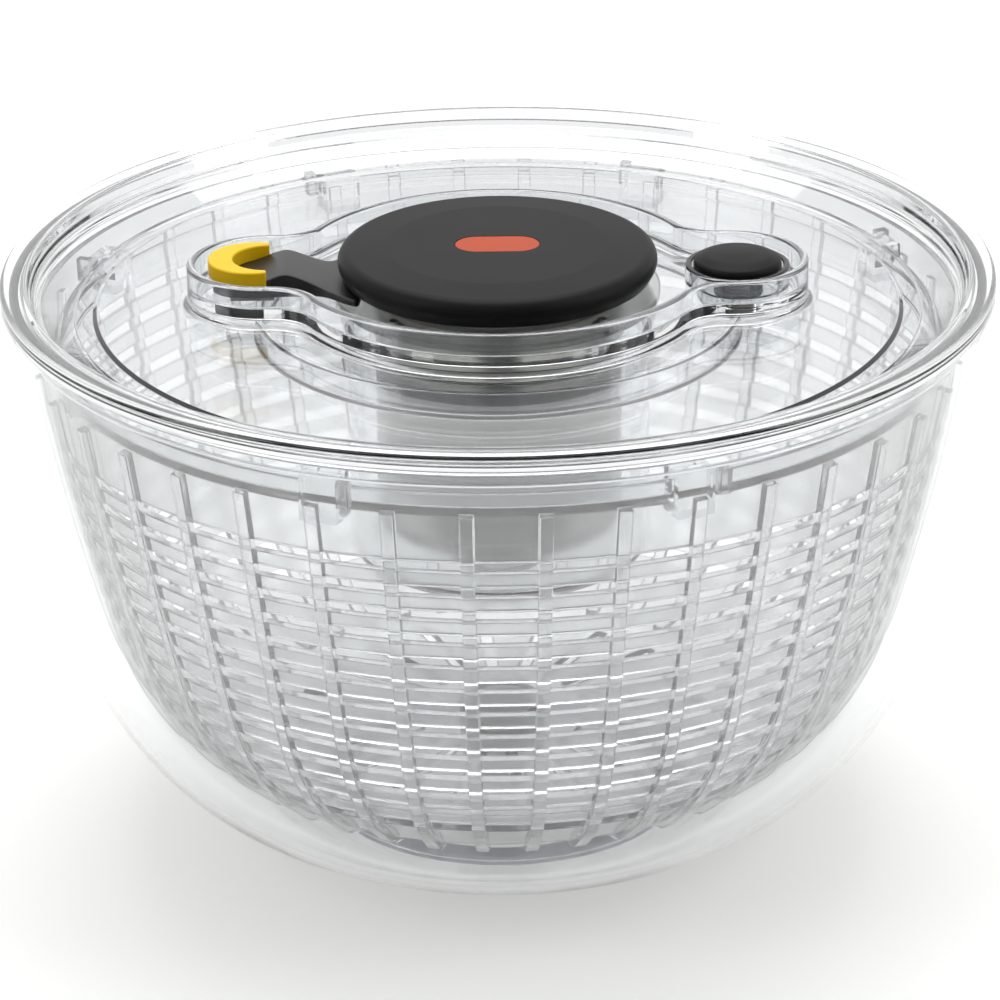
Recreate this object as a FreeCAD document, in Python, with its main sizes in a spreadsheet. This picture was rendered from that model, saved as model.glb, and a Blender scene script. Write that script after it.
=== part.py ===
import FreeCAD, Part
import math
import operator
import os
import Sketcher

# A hand-pumped salad spinner: a clear bowl, a slotted basket that spins in it on a pin, and a clear lid.
# The lid carries the plunger, whose nut turns a spiral rod, and the rod turns the drive disc under the
# lid, whose lugs turn the basket. Millimetres, +Z up, origin under the middle of the foot ring.

doc = FreeCAD.newDocument("salad_spinner")
sheet = doc.addObject("Spreadsheet::Sheet", "Sizes")
layout = doc.addObject("App::VarSet", "Layout")

SIGNS = {"+": operator.add, "-": operator.sub, "*": operator.mul, "/": operator.truediv}


class Size:
    """A number together with the expression that gives it in the document."""

    def __init__(self, value, text):
        self.value = value
        self.text = text

    def __add__(self, other):
        return combine(self, "+", other)

    def __radd__(self, other):
        return combine(other, "+", self)

    def __sub__(self, other):
        return combine(self, "-", other)

    def __rsub__(self, other):
        return combine(other, "-", self)

    def __mul__(self, other):
        return combine(self, "*", other)

    def __rmul__(self, other):
        return combine(other, "*", self)

    def __truediv__(self, other):
        return combine(self, "/", other)

    def __neg__(self):
        return combine(0, "-", self)


def as_size(item):
    return item if isinstance(item, Size) else Size(float(item), repr(item))


def combine(left, sign, right):
    left = as_size(left)
    right = as_size(right)
    return Size(SIGNS[sign](left.value, right.value), f"({left.text} {sign} {right.text})")


def root(item):
    return Size(math.sqrt(item.value), f"sqrt({item.text})")


def cosine(angle):
    return Size(math.cos(math.radians(angle.value)), f"cos({angle.text} * 1deg)")


def sine(angle):
    return Size(math.sin(math.radians(angle.value)), f"sin({angle.text} * 1deg)")


rows = []


def size(name, value):
    """A driving dimension: one cell of the sheet, which its alias names."""
    rows.append(name)
    cell = f"B{len(rows)}"
    sheet.set(f"A{len(rows)}", name)
    sheet.set(cell, str(value))
    sheet.setAlias(cell, name)
    return Size(float(value), f"Sizes.{name}")


def derived(name, item):
    """A dimension that follows from others, kept under a name of its own."""
    layout.addProperty("App::PropertyFloat", name, "Derived")
    layout.setExpression(name, item.text)
    return Size(item.value, f"Layout.{name}")


# ---------------------------------------------------------------- driving dimensions

# Bowl: a flat floor, a tight heel, a rounded side and an almost upright upper wall.
bowl_floor_radius = size("bowl_floor_radius", 53.5)
bowl_floor_lift = size("bowl_floor_lift", 2)
bowl_heel_radius = size("bowl_heel_radius", 46)
bowl_heel_angle = size("bowl_heel_angle", 68)
bowl_side_radius = size("bowl_side_radius", 80)
bowl_side_angle = size("bowl_side_angle", 14.9)
bowl_upper_radius = size("bowl_upper_radius", 400)
bowl_height = size("bowl_height", 155.3)
bowl_wall = size("bowl_wall", 2.5)
bowl_lip_round = size("bowl_lip_round", 0.9)
post_radius = size("post_radius", 6)
post_top = size("post_top", 24)
foot_inset = size("foot_inset", 1.5)
foot_width = size("foot_width", 8)
foot_groove = size("foot_groove", 1)
foot_round = size("foot_round", 0.8)

# Basket, and the bearing cap between it and the bowl's post.
basket_spread = size("basket_spread", 18.5)
basket_floor_z = size("basket_floor_z", 24)
basket_heel_radius = size("basket_heel_radius", 20)
basket_heel_angle = size("basket_heel_angle", 45)
basket_side_radius = size("basket_side_radius", 90)
basket_side_angle = size("basket_side_angle", 15.5)
basket_upper_radius = size("basket_upper_radius", 600)
basket_drop = size("basket_drop", 6.3)
basket_wall = size("basket_wall", 2)
basket_turn = size("basket_turn", 5.2)
basket_boss_wall = size("basket_boss_wall", 2.8)
socket_bottom = size("socket_bottom", 13)
slot_first = size("slot_first", 36)
slot_height = size("slot_height", 3.1)
slot_drop = size("slot_drop", 10.1)
slot_rows = size("slot_rows", 13)
slot_relief = size("slot_relief", 0.3)
rib_count = size("rib_count", 40)
rib_width = size("rib_width", 3.4)
rib_proud = size("rib_proud", 2)
rib_root = size("rib_root", 1.4)
rib_drop = size("rib_drop", 8)
drain_count = size("drain_count", 20)
drain_inner = size("drain_inner", 24)
drain_margin = size("drain_margin", 14)
drain_width = size("drain_width", 3)
tab_width = size("tab_width", 3)
tab_reach = size("tab_reach", 4)
tab_depth = size("tab_depth", 9)
cap_wall = size("cap_wall", 3)
cap_length = size("cap_length", 12)
pin_fit = size("pin_fit", 0.1)
pin_end_gap = size("pin_end_gap", 0.4)

# Lid: a shallow dish with a flange over the bowl's rim, a skirt inside it and a raised island.
lid_seat_gap = size("lid_seat_gap", 0.3)
lid_flange_thickness = size("lid_flange_thickness", 4.4)
lid_overhang = size("lid_overhang", 2.6)
lid_flange_round = size("lid_flange_round", 1.6)
lid_wall = size("lid_wall", 2.2)
lid_skirt_gap = size("lid_skirt_gap", 0.8)
lid_skirt_depth = size("lid_skirt_depth", 5.8)
lid_dish_depth = size("lid_dish_depth", 10)
lid_shoulder_drop = size("lid_shoulder_drop", 5)
lid_shoulder_in = size("lid_shoulder_in", 1.8)
lid_cone_width = size("lid_cone_width", 10.6)
lid_floor_thickness = size("lid_floor_thickness", 2.4)
lid_step_width = size("lid_step_width", 5)
lid_step_height = size("lid_step_height", 0.6)
island_margin = size("island_margin", 13.7)
island_lobe_radius = size("island_lobe_radius", 21)
island_lobe_out = size("island_lobe_out", 6)
island_neck_radius = size("island_neck_radius", 12)
island_wall = size("island_wall", 2.3)
island_rise = size("island_rise", 11.3)
plateau_rise = size("plateau_rise", 4.4)
plateau_thickness = size("plateau_thickness", 2.4)

# Plunger, knob and latch.
stroke = size("stroke", 36)
knob_radius = size("knob_radius", 43.3)
knob_gap = size("knob_gap", 2.6)
knob_height = size("knob_height", 8.5)
knob_shell = size("knob_shell", 2.4)
knob_edge_round = size("knob_edge_round", 3)
knob_foot_round = size("knob_foot_round", 1.5)
core_inset = size("core_inset", 8.3)
core_gap = size("core_gap", 0.9)
core_round = size("core_round", 1)
inlay_length = size("inlay_length", 23)
inlay_width = size("inlay_width", 12)
inlay_depth = size("inlay_depth", 1.2)
tube_inset = size("tube_inset", 5)
tube_wall = size("tube_wall", 1.6)
tube_fit = size("tube_fit", 0.5)
tube_length = size("tube_length", 58)
nut_height = size("nut_height", 7)
knob_screw_circle = size("knob_screw_circle", 17)
knob_screw_count = size("knob_screw_count", 3)
screw_head_radius = size("screw_head_radius", 2.8)
screw_head_height = size("screw_head_height", 2)
screw_radius = size("screw_radius", 1.3)
screw_grip = size("screw_grip", 1.9)
latch_out = size("latch_out", 3)
latch_travel = size("latch_travel", 3)
latch_base_radius = size("latch_base_radius", 11.2)
latch_base_height = size("latch_base_height", 3.2)
latch_lift = size("latch_lift", 0.3)
latch_arm_height = size("latch_arm_height", 1.9)
latch_arm_width = size("latch_arm_width", 20)
latch_plate_width = size("latch_plate_width", 42)
latch_plate_depth = size("latch_plate_depth", 13.5)
latch_nose_gap = size("latch_nose_gap", 0.5)
latch_stem_size = size("latch_stem_size", 6)
latch_clip_thickness = size("latch_clip_thickness", 1.2)
grip_radius = size("grip_radius", 12.2)
grip_band = size("grip_band", 5.6)
grip_height = size("grip_height", 4.4)
grip_open = size("grip_open", 6.2)
grip_inner_open = size("grip_inner_open", 3.2)

# Brake button.
brake_out = size("brake_out", 1.8)
brake_travel = size("brake_travel", 3)
button_radius = size("button_radius", 11.9)
button_gap = size("button_gap", 3.1)
button_height = size("button_height", 5)
button_shell = size("button_shell", 1.4)
button_round = size("button_round", 1.6)
button_crown = size("button_crown", 0.9)
button_guide_gap = size("button_guide_gap", 0.5)
button_guide_wall = size("button_guide_wall", 1.8)
button_guide_rise = size("button_guide_rise", 5)
brake_stem_radius = size("brake_stem_radius", 3.5)
brake_stem_fit = size("brake_stem_fit", 0.3)
brake_pad_radius = size("brake_pad_radius", 7)
brake_pad_height = size("brake_pad_height", 1.9)
brake_pad_gap = size("brake_pad_gap", 0.2)
brake_boss_radius = size("brake_boss_radius", 13)
brake_boss_wall = size("brake_boss_wall", 2)
brake_boss_drop = size("brake_boss_drop", 3.6)
brake_wire = size("brake_wire", 0.6)
brake_coil_radius = size("brake_coil_radius", 5.5)
brake_coil_turns = size("brake_coil_turns", 3)

# Drive housing, spiral rod and the drive disc.
housing_gap = size("housing_gap", 1.7)
housing_wall = size("housing_wall", 1.8)
spring_room = size("spring_room", 6.3)
housing_floor = size("housing_floor", 3)
housing_flange_width = size("housing_flange_width", 10.5)
housing_flange_thickness = size("housing_flange_thickness", 2.4)
housing_screw_out = size("housing_screw_out", 5.5)
bush_radius = size("bush_radius", 8)
bush_lip = size("bush_lip", 1.2)
rod_radius = size("rod_radius", 4)
rod_core_radius = size("rod_core_radius", 3.5)
rod_fit = size("rod_fit", 0.08)
rod_lead = size("rod_lead", 24)
rod_fin_radius = size("rod_fin_radius", 6)
rod_fin_height = size("rod_fin_height", 4)
rod_journal_radius = size("rod_journal_radius", 3)
rod_end_gap = size("rod_end_gap", 0.5)
rod_screw_depth = size("rod_screw_depth", 9)
rod_tip_radius = size("rod_tip_radius", 8)
nut_clearance = size("nut_clearance", 0.35)
spring_wire = size("spring_wire", 1.1)
spring_radius = size("spring_radius", 20)
spring_turns = size("spring_turns", 4)
spring_gap = size("spring_gap", 0.1)
track_inset = size("track_inset", 0.1)
track_gap = size("track_gap", 0.1)
track_width = size("track_width", 2.2)
disc_drop = size("disc_drop", 10)
disc_thickness = size("disc_thickness", 2)
disc_cup_gap = size("disc_cup_gap", 5.5)
disc_wall = size("disc_wall", 2)
disc_cup_drop = size("disc_cup_drop", 8)
disc_rim_gap = size("disc_rim_gap", 1)
disc_rim_wall = size("disc_rim_wall", 1.8)
disc_rim_rise = size("disc_rim_rise", 4.5)
lug_count = size("lug_count", 8)
lug_turn = size("lug_turn", 23.4)
lug_width = size("lug_width", 10)
lug_depth = size("lug_depth", 6)
lug_reach = size("lug_reach", 2.2)
lug_drop = size("lug_drop", 3.4)
lug_rise = size("lug_rise", 6.8)
lug_gap = size("lug_gap", 0.5)
cup_round = size("cup_round", 3)
ratchet_radius = size("ratchet_radius", 19)
ratchet_root_radius = size("ratchet_root_radius", 15)
ratchet_depth = size("ratchet_depth", 1.5)
ratchet_teeth = size("ratchet_teeth", 12)
ratchet_height = size("ratchet_height", 4)
ratchet_gap = size("ratchet_gap", 0.4)
pawl_count = size("pawl_count", 3)
pawl_width = size("pawl_width", 4)
washer_radius = size("washer_radius", 6)
washer_thickness = size("washer_thickness", 1)
hub_cap_radius = size("hub_cap_radius", 12)
hub_cap_depth = size("hub_cap_depth", 6)
hub_cap_wall = size("hub_cap_wall", 1.4)

# ---------------------------------------------------------------- sketches and features


def body(name):
    item = doc.addObject("PartDesign::Body", name)
    item.Label = name
    item.AllowCompound = True
    return item


def sketch(part, plane="XZ_Plane", lift=None, turn=None):
    """A sketch on one of the body's own planes, lifted along its normal and turned about it."""
    item = part.newObject("Sketcher::SketchObject", part.Name + "_sketch")
    support = next(feature for feature in part.Origin.OriginFeatures if feature.Role == plane)
    item.AttachmentSupport = [(support, "")]
    item.MapMode = "FlatFace"
    if lift is not None:
        item.setExpression(".AttachmentOffset.Base.z", lift.text)
    if turn is not None:
        item.setExpression(".AttachmentOffset.Rotation.Angle", turn.text)
    return item


def arc_between(start, end, radius):
    """The arc from start to end, turning left for a positive radius and right for a negative one."""
    middle = (start + end) * 0.5
    chord = end - start
    side = FreeCAD.Vector(-chord.y, chord.x, 0).normalize() * math.copysign(1, radius)
    reach = math.sqrt(radius * radius - chord.Length * chord.Length / 4)
    centre = middle + side * reach
    first, last = (start, end) if radius > 0 else (end, start)
    angles = [math.atan2(point.y - centre.y, point.x - centre.x) for point in (first, last)]
    circle = Part.Circle(centre, FreeCAD.Vector(0, 0, 1), abs(radius))
    return Part.ArcOfCircle(circle, angles[0], angles[1])


def outline(item, points):
    """A closed outline through the points; a third value is the radius of the arc that ends there."""
    corners = [tuple(as_size(value) for value in point) for point in points]
    places = [FreeCAD.Vector(corner[0].value, corner[1].value, 0) for corner in corners]
    first = item.GeometryCount
    count = len(corners)
    starts = []
    ends = []
    for index in range(count):
        following = corners[(index + 1) % count]
        start = places[index]
        end = places[(index + 1) % count]
        left = len(following) == 2 or following[2].value > 0
        if len(following) == 2:
            item.addGeometry(Part.LineSegment(start, end), False)
        else:
            item.addGeometry(arc_between(start, end, following[2].value), False)
        starts.append(1 if left else 2)
        ends.append(2 if left else 1)
    for index in range(count):
        after = (index + 1) % count
        item.addConstraint(Sketcher.Constraint(
            "Coincident", first + index, ends[index], first + after, starts[after]))
    for index, corner in enumerate(corners):
        bind_point(item, first + index, starts[index], corner)
        following = corners[(index + 1) % count]
        if len(following) == 3:
            radius = following[2] if following[2].value > 0 else -following[2]
            bind(item, ("Radius", first + index), radius)


def bind(item, what, amount):
    """One dimension of the sketch, bound to the sizes that it follows."""
    number = item.addConstraint(Sketcher.Constraint(*what, amount.value))
    item.setExpression(f"Constraints[{number}]", amount.text)


def bind_point(item, geometry, end, place):
    for kind, value, axis in (("DistanceX", place[0], -2), ("DistanceY", place[1], -1)):
        if value.value == 0:
            item.addConstraint(Sketcher.Constraint("PointOnObject", geometry, end, axis))
        else:
            bind(item, (kind, -1, 1, geometry, end), value)


def circle(item, radius, x=0, y=0):
    centre = (as_size(x), as_size(y))
    where = FreeCAD.Vector(centre[0].value, centre[1].value, 0)
    item.addGeometry(Part.Circle(where, FreeCAD.Vector(0, 0, 1), radius.value), False)
    number = item.GeometryCount - 1
    bind_point(item, number, 3, centre)
    bind(item, ("Radius", number), radius)


def box_points(left, right, low, high):
    return [(left, low), (right, low), (right, high), (left, high)]


def turned(part, points, cut=False):
    """The outline turned all the way about the body's upright axis."""
    item = sketch(part)
    outline(item, points)
    kind = "Groove" if cut else "Revolution"
    feature = part.newObject("PartDesign::" + kind, f"{part.Name}_{kind}")
    feature.Profile = item
    feature.ReferenceAxis = (item, ["V_Axis"])
    feature.Angle = 360
    return feature


def raised(part, item, height, cut=False, both_ways=False, down=False):
    """The sketch pushed out, or cut in, by a height along its normal."""
    kind = "Pocket" if cut else "Pad"
    feature = part.newObject("PartDesign::" + kind, f"{part.Name}_{kind}")
    feature.Profile = item
    feature.SideType = "Symmetric" if both_ways else "One side"
    feature.Reversed = down != cut
    feature.setExpression("Length", height.text)
    return feature


def round_table(part, feature, count):
    """Copies of one feature, evenly about the body's upright axis."""
    pattern = part.newObject("PartDesign::PolarPattern", part.Name + "_Pattern")
    pattern.Originals = [feature]
    pattern.Axis = (feature.Profile[0], ["N_Axis" if feature.Profile[0].AttachmentSupport[0][0].Role
                                         == "XY_Plane" else "V_Axis"])
    pattern.Angle = 360
    pattern.setExpression("Occurrences", count.text)
    part.Tip = pattern
    return pattern


def rounded(part, radius, *rings):
    """Round the circular edges at the given radii and heights."""
    base = part.Tip
    base.recompute(True)
    names = []
    for number, edge in enumerate(base.Shape.Edges, 1):
        if not isinstance(edge.Curve, Part.Circle):
            continue
        for ring_radius, height in rings:
            near_radius = abs(edge.Curve.Radius - as_size(ring_radius).value) < 0.01
            near_height = abs(edge.Curve.Center.z - as_size(height).value) < 0.01
            if near_radius and near_height:
                names.append(f"Edge{number}")
    feature = part.newObject("PartDesign::Fillet", part.Name + "_Fillet")
    feature.Base = (base, sorted(set(names)))
    feature.setExpression("Radius", radius.text)
    return feature


class Wall:
    """The outer line of a turned wall: flat floor, heel arc, side arc and upper arc, each tangent to
    the next. Lines beside it, at an offset outward, give its inner face and its ribs."""

    def __init__(self, name, floor, lift, heel, side, upper):
        heel_radius, heel_angle = heel
        side_radius, side_angle = side
        self.name = name
        self.floor = floor
        self.lift = lift
        self.arcs = (heel_radius, side_radius, upper)
        self.turns = ((cosine(heel_angle), sine(heel_angle)), (cosine(side_angle), sine(side_angle)))
        centres = [(floor, lift + heel_radius)]
        for number, (across, down) in enumerate(self.turns):
            step = self.arcs[number] - self.arcs[number + 1]
            x, z = centres[-1]
            centres.append((derived(f"{name}_centre_x{number + 2}", x + step * across),
                            derived(f"{name}_centre_z{number + 2}", z - step * down)))
        self.centres = centres

    def radius_at(self, height, offset=0):
        """The wall's radius at a height, on whichever arc it crosses there."""
        number = 0
        for index, (across, down) in enumerate(self.turns):
            joint = self.centres[index][1] - (self.arcs[index] + offset) * down
            if height.value > joint.value:
                number = index + 1
        x, z = self.centres[number]
        reach = self.arcs[number] + offset
        return x + root(reach * reach - (height - z) * (height - z))

    def upward(self, top, offset=0):
        """Points from the floor out and up to the top."""
        points = [(self.floor, self.lift - offset)]
        for number, (across, down) in enumerate(self.turns):
            x, z = self.centres[number]
            reach = self.arcs[number] + offset
            points.append((x + reach * across, z - reach * down, reach))
        points.append((self.radius_at(top, offset), top, self.arcs[2] + offset))
        return points

    def downward(self, top, offset=0):
        """The same points from the top down and in to the floor."""
        rising = self.upward(top, offset)
        radii = [None] + [-point[2] for point in reversed(rising[1:])]
        falling = [point[:2] for point in reversed(rising)]
        return [point if radius is None else point + (radius,) for point, radius in zip(falling, radii)]


# ---------------------------------------------------------------- bowl and foot ring

bowl_line = Wall(
    "bowl", bowl_floor_radius, bowl_floor_lift, (bowl_heel_radius, bowl_heel_angle),
    (bowl_side_radius, bowl_side_angle), bowl_upper_radius)
bowl_floor_top = derived("bowl_floor_top", bowl_floor_lift + bowl_wall)
foot_seat = derived("foot_seat", bowl_floor_lift + foot_groove)
foot_outer_radius = derived("foot_outer_radius", bowl_floor_radius - foot_inset)
foot_inner_radius = derived("foot_inner_radius", foot_outer_radius - foot_width)

bowl = body("bowl")
turned(bowl, [
    (0, bowl_floor_lift), (foot_inner_radius, bowl_floor_lift), (foot_inner_radius, foot_seat),
    (foot_outer_radius, foot_seat), (foot_outer_radius, bowl_floor_lift),
    *bowl_line.upward(bowl_height), *bowl_line.downward(bowl_height, -bowl_wall),
    (post_radius, bowl_floor_top), (post_radius, post_top), (0, post_top)])
rounded(bowl, bowl_lip_round, (bowl_line.radius_at(bowl_height), bowl_height),
        (bowl_line.radius_at(bowl_height, -bowl_wall), bowl_height))

foot_ring = body("foot_ring")
turned(foot_ring, box_points(foot_inner_radius, foot_outer_radius, as_size(0), foot_seat))
rounded(foot_ring, foot_round, (foot_inner_radius, 0), (foot_outer_radius, 0))

# ---------------------------------------------------------------- bearing cap and basket

cap_bore = derived("cap_bore", post_radius + pin_fit)
cap_inside_top = derived("cap_inside_top", post_top + pin_end_gap)
cap_radius = derived("cap_radius", cap_bore + cap_wall)
cap_top = derived("cap_top", cap_inside_top + cap_wall)
cap_bottom = derived("cap_bottom", cap_top - cap_length)

pivot_cap = body("pivot_cap")
turned(pivot_cap, [
    (0, cap_inside_top), (cap_bore, cap_inside_top), (cap_bore, cap_bottom), (cap_radius, cap_bottom),
    (cap_radius, cap_top), (0, cap_top)])

lid_rim_top = derived("lid_rim_top", bowl_height + lid_seat_gap + lid_flange_thickness)
lid_floor_top = derived("lid_floor_top", lid_rim_top - lid_dish_depth)
lid_floor_under = derived("lid_floor_under", lid_floor_top - lid_floor_thickness)
bowl_lip_inner = derived("bowl_lip_inner", bowl_line.radius_at(bowl_height, -bowl_wall))
lid_skirt_radius = derived("lid_skirt_radius", bowl_lip_inner - lid_skirt_gap)
basket_top = derived("basket_top", bowl_height - basket_drop)
basket_floor_radius = derived("basket_floor_radius", bowl_floor_radius + basket_spread)
basket_line = Wall(
    "basket", basket_floor_radius, basket_floor_z, (basket_heel_radius, basket_heel_angle),
    (basket_side_radius, basket_side_angle), basket_upper_radius)
basket_floor_top = derived("basket_floor_top", basket_floor_z + basket_wall)
socket_radius = derived("socket_radius", cap_radius + pin_fit)
socket_top = derived("socket_top", cap_top + pin_end_gap)
boss_top = derived("boss_top", socket_top + basket_wall)
rib_top = derived("rib_top", basket_top - rib_drop)
basket_boss_radius = derived("basket_boss_radius", socket_radius + basket_boss_wall)
drain_outer = derived("drain_outer", basket_floor_radius - drain_margin)
slot_pitch = derived("slot_pitch", (rib_top - slot_drop - slot_first) / slot_rows)

basket = body("basket")
turned(basket, [
    (0, socket_top), (socket_radius, socket_top), (socket_radius, socket_bottom),
    (basket_boss_radius, socket_bottom), (basket_boss_radius, basket_floor_z),
    *basket_line.upward(basket_top), *basket_line.downward(basket_top, -basket_wall),
    (basket_boss_radius, basket_floor_top), (basket_boss_radius, boss_top), (0, boss_top)])

# Eight tabs inside the rim, which the lugs of the drive disc push.
tab_outer = derived("tab_outer", basket_line.radius_at(basket_top, -basket_wall) + basket_wall / 4)
tab_inner = derived("tab_inner", tab_outer - tab_reach)
lug_half_turn = (lug_width / 2 + lug_gap + tab_width / 2) / tab_inner * (180 / math.pi)
tab = sketch(basket, "XY_Plane", lift=basket_top - tab_depth,
             turn=lug_turn + lug_half_turn - basket_turn)
outline(tab, box_points(tab_inner, tab_outer, -tab_width / 2, tab_width / 2))
round_table(basket, raised(basket, tab, tab_depth - basket_wall), lug_count)

drain = sketch(basket, "XY_Plane", lift=basket_floor_z)
outline(drain, box_points(drain_inner, drain_outer, -drain_width / 2, drain_width / 2))
round_table(basket, raised(basket, drain, basket_wall, cut=True), drain_count)

# Ribs outside the wall, then slots all the way round behind them, so that the ribs bridge each slot.
rib = sketch(basket)
outline(rib, basket_line.upward(rib_top, rib_proud) + basket_line.downward(rib_top, -rib_root))
round_table(basket, raised(basket, rib, rib_width, both_ways=True), rib_count)
slot_sketch = sketch(basket)
for row in range(int(slot_rows.value)):
    low = slot_first + slot_pitch * row
    high = low + slot_height
    outline(slot_sketch, [
        (basket_line.radius_at(low, -basket_wall - slot_relief), low),
        (basket_line.radius_at(low, slot_relief), low),
        (basket_line.radius_at(high, slot_relief), high),
        (basket_line.radius_at(high, -basket_wall - slot_relief), high)])
slot_cut = basket.newObject("PartDesign::Groove", "basket_Slots")
slot_cut.Profile = slot_sketch
slot_cut.ReferenceAxis = (slot_sketch, ["V_Axis"])
slot_cut.Angle = 360

# ---------------------------------------------------------------- lid cover

core_radius = derived("core_radius", knob_radius - core_inset)
tube_radius = derived("tube_radius", core_radius - tube_inset)
island_radius = derived("island_radius", knob_radius + island_margin)
island_lobe_place = derived("island_lobe_place", island_radius + island_lobe_out)
brake_place = derived("brake_place", island_lobe_place + brake_out)
latch_place = derived("latch_place", island_lobe_place + latch_out)
island_top = derived("island_top", lid_floor_top + island_rise)
plateau_top = derived("plateau_top", lid_floor_top + plateau_rise)
plateau_under = derived("plateau_under", plateau_top - plateau_thickness)
flange_under = derived("flange_under", bowl_height + lid_seat_gap)
lid_radius = derived("lid_radius", bowl_line.radius_at(bowl_height) + lid_overhang)
wall_top_radius = derived("wall_top_radius", lid_skirt_radius - lid_wall + lid_shoulder_in / 2)
shoulder_radius = derived("shoulder_radius", wall_top_radius - lid_shoulder_in)
shoulder_z = derived("shoulder_z", lid_rim_top - lid_shoulder_drop)
cone_radius = derived("cone_radius", shoulder_radius - lid_cone_width)
step_radius = derived("step_radius", cone_radius - lid_step_width)
skirt_inside = derived("skirt_inside", lid_skirt_radius - lid_wall)
skirt_bottom = derived("skirt_bottom", bowl_height - lid_skirt_depth)

lid_cover = body("lid_cover")
turned(lid_cover, [
    (0, lid_floor_under), (cone_radius, lid_floor_under),
    (skirt_inside - lid_wall, shoulder_z - lid_floor_thickness),
    (skirt_inside, shoulder_z - lid_floor_thickness), (skirt_inside, skirt_bottom),
    (lid_skirt_radius, skirt_bottom), (lid_skirt_radius, flange_under), (lid_radius, flange_under),
    (lid_radius, lid_rim_top), (wall_top_radius, lid_rim_top), (shoulder_radius, shoulder_z),
    (cone_radius, lid_floor_top), (step_radius, lid_floor_top - lid_step_height),
    (step_radius - lid_step_height, lid_floor_top), (0, lid_floor_top)])
rounded(lid_cover, lid_flange_round, (lid_radius, lid_rim_top), (wall_top_radius, lid_rim_top))


def island_points(inset):
    """The round middle with a lobe on each side, joined by hollow necks, drawn in by an inset."""
    end_radius = island_lobe_radius - inset
    middle_radius = island_radius - inset
    neck = island_neck_radius + inset
    reach = island_radius + island_neck_radius
    neck_y = island_lobe_radius + island_neck_radius
    neck_x = root(reach * reach - neck_y * neck_y)
    share = middle_radius / reach
    touch_x = neck_x * share
    touch_y = neck_y * share
    tip = island_lobe_place + end_radius
    return [
        (island_lobe_place, -end_radius), (tip, 0, end_radius), (island_lobe_place, end_radius, end_radius),
        (neck_x, end_radius), (touch_x, touch_y, -neck), (-touch_x, touch_y, middle_radius),
        (-neck_x, end_radius, -neck), (-island_lobe_place, end_radius), (-tip, 0, end_radius),
        (-island_lobe_place, -end_radius, end_radius), (-neck_x, -end_radius),
        (-touch_x, -touch_y, -neck), (touch_x, -touch_y, middle_radius), (neck_x, -end_radius, -neck)]


island = sketch(lid_cover, "XY_Plane", lift=lid_floor_under)
outline(island, island_points(as_size(0)))
raised(lid_cover, island, island_top - lid_floor_under)
hollow_above = sketch(lid_cover, "XY_Plane", lift=plateau_top)
outline(hollow_above, island_points(island_wall))
raised(lid_cover, hollow_above, island_top - plateau_top, cut=True)
hollow_below = sketch(lid_cover, "XY_Plane", lift=lid_floor_under)
outline(hollow_below, island_points(island_wall))
raised(lid_cover, hollow_below, plateau_under - lid_floor_under, cut=True)

plunger_bore = sketch(lid_cover, "XY_Plane", lift=plateau_under)
circle(plunger_bore, tube_radius + tube_fit)
latch_slot_length = latch_stem_size + latch_travel + 2 * latch_lift
latch_slot_right = latch_stem_size / 2 + latch_lift - latch_place
outline(plunger_bore, box_points(
    latch_slot_right - latch_slot_length, latch_slot_right, -latch_stem_size / 2 - latch_lift,
    latch_stem_size / 2 + latch_lift))
raised(lid_cover, plunger_bore, plateau_thickness, cut=True)

guide_inner = derived("guide_inner", button_radius + button_guide_gap)
button_guide = sketch(lid_cover, "XY_Plane", lift=plateau_top)
circle(button_guide, guide_inner + button_guide_wall, brake_place)
circle(button_guide, guide_inner, brake_place)
raised(lid_cover, button_guide, button_guide_rise)
brake_boss = sketch(lid_cover, "XY_Plane", lift=plateau_under - brake_boss_drop)
circle(brake_boss, brake_boss_radius, brake_place)
circle(brake_boss, brake_boss_radius - brake_boss_wall, brake_place)
raised(lid_cover, brake_boss, brake_boss_drop)
stem_hole = sketch(lid_cover, "XY_Plane", lift=plateau_under)
circle(stem_hole, brake_stem_radius + brake_stem_fit, brake_place)
raised(lid_cover, stem_hole, plateau_thickness, cut=True)
housing_radius = derived("housing_radius", tube_radius + housing_gap + housing_wall)
housing_screw_circle = derived("housing_screw_circle", housing_radius + housing_screw_out)
screw_hole = sketch(lid_cover, "XY_Plane", lift=plateau_under, turn=as_size(45))
circle(screw_hole, screw_radius, housing_screw_circle)
round_table(lid_cover, raised(lid_cover, screw_hole, screw_grip, cut=True), as_size(4))

# ---------------------------------------------------------------- drive housing, its bush and screws

core_bottom = derived("core_bottom", plateau_top + core_gap)
tube_bottom = derived("tube_bottom", core_bottom - tube_length)
housing_inner = derived("housing_inner", tube_radius + housing_gap)
housing_bottom = derived("housing_bottom", tube_bottom - spring_room - housing_floor)
housing_floor_top = derived("housing_floor_top", housing_bottom + housing_floor)
flange_bottom = derived("flange_bottom", plateau_under - housing_flange_thickness)
housing_flange = derived("housing_flange", housing_radius + housing_flange_width)

drive_housing = body("drive_housing")
turned(drive_housing, [
    (bush_radius, housing_bottom), (housing_radius, housing_bottom), (housing_radius, flange_bottom),
    (housing_flange, flange_bottom), (housing_flange, plateau_under), (housing_inner, plateau_under),
    (housing_inner, housing_floor_top), (bush_radius, housing_floor_top)])
flange_hole = sketch(drive_housing, "XY_Plane", lift=flange_bottom, turn=as_size(45))
circle(flange_hole, screw_radius, housing_screw_circle)
round_table(drive_housing, raised(drive_housing, flange_hole, housing_flange_thickness, cut=True),
            as_size(4))


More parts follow.
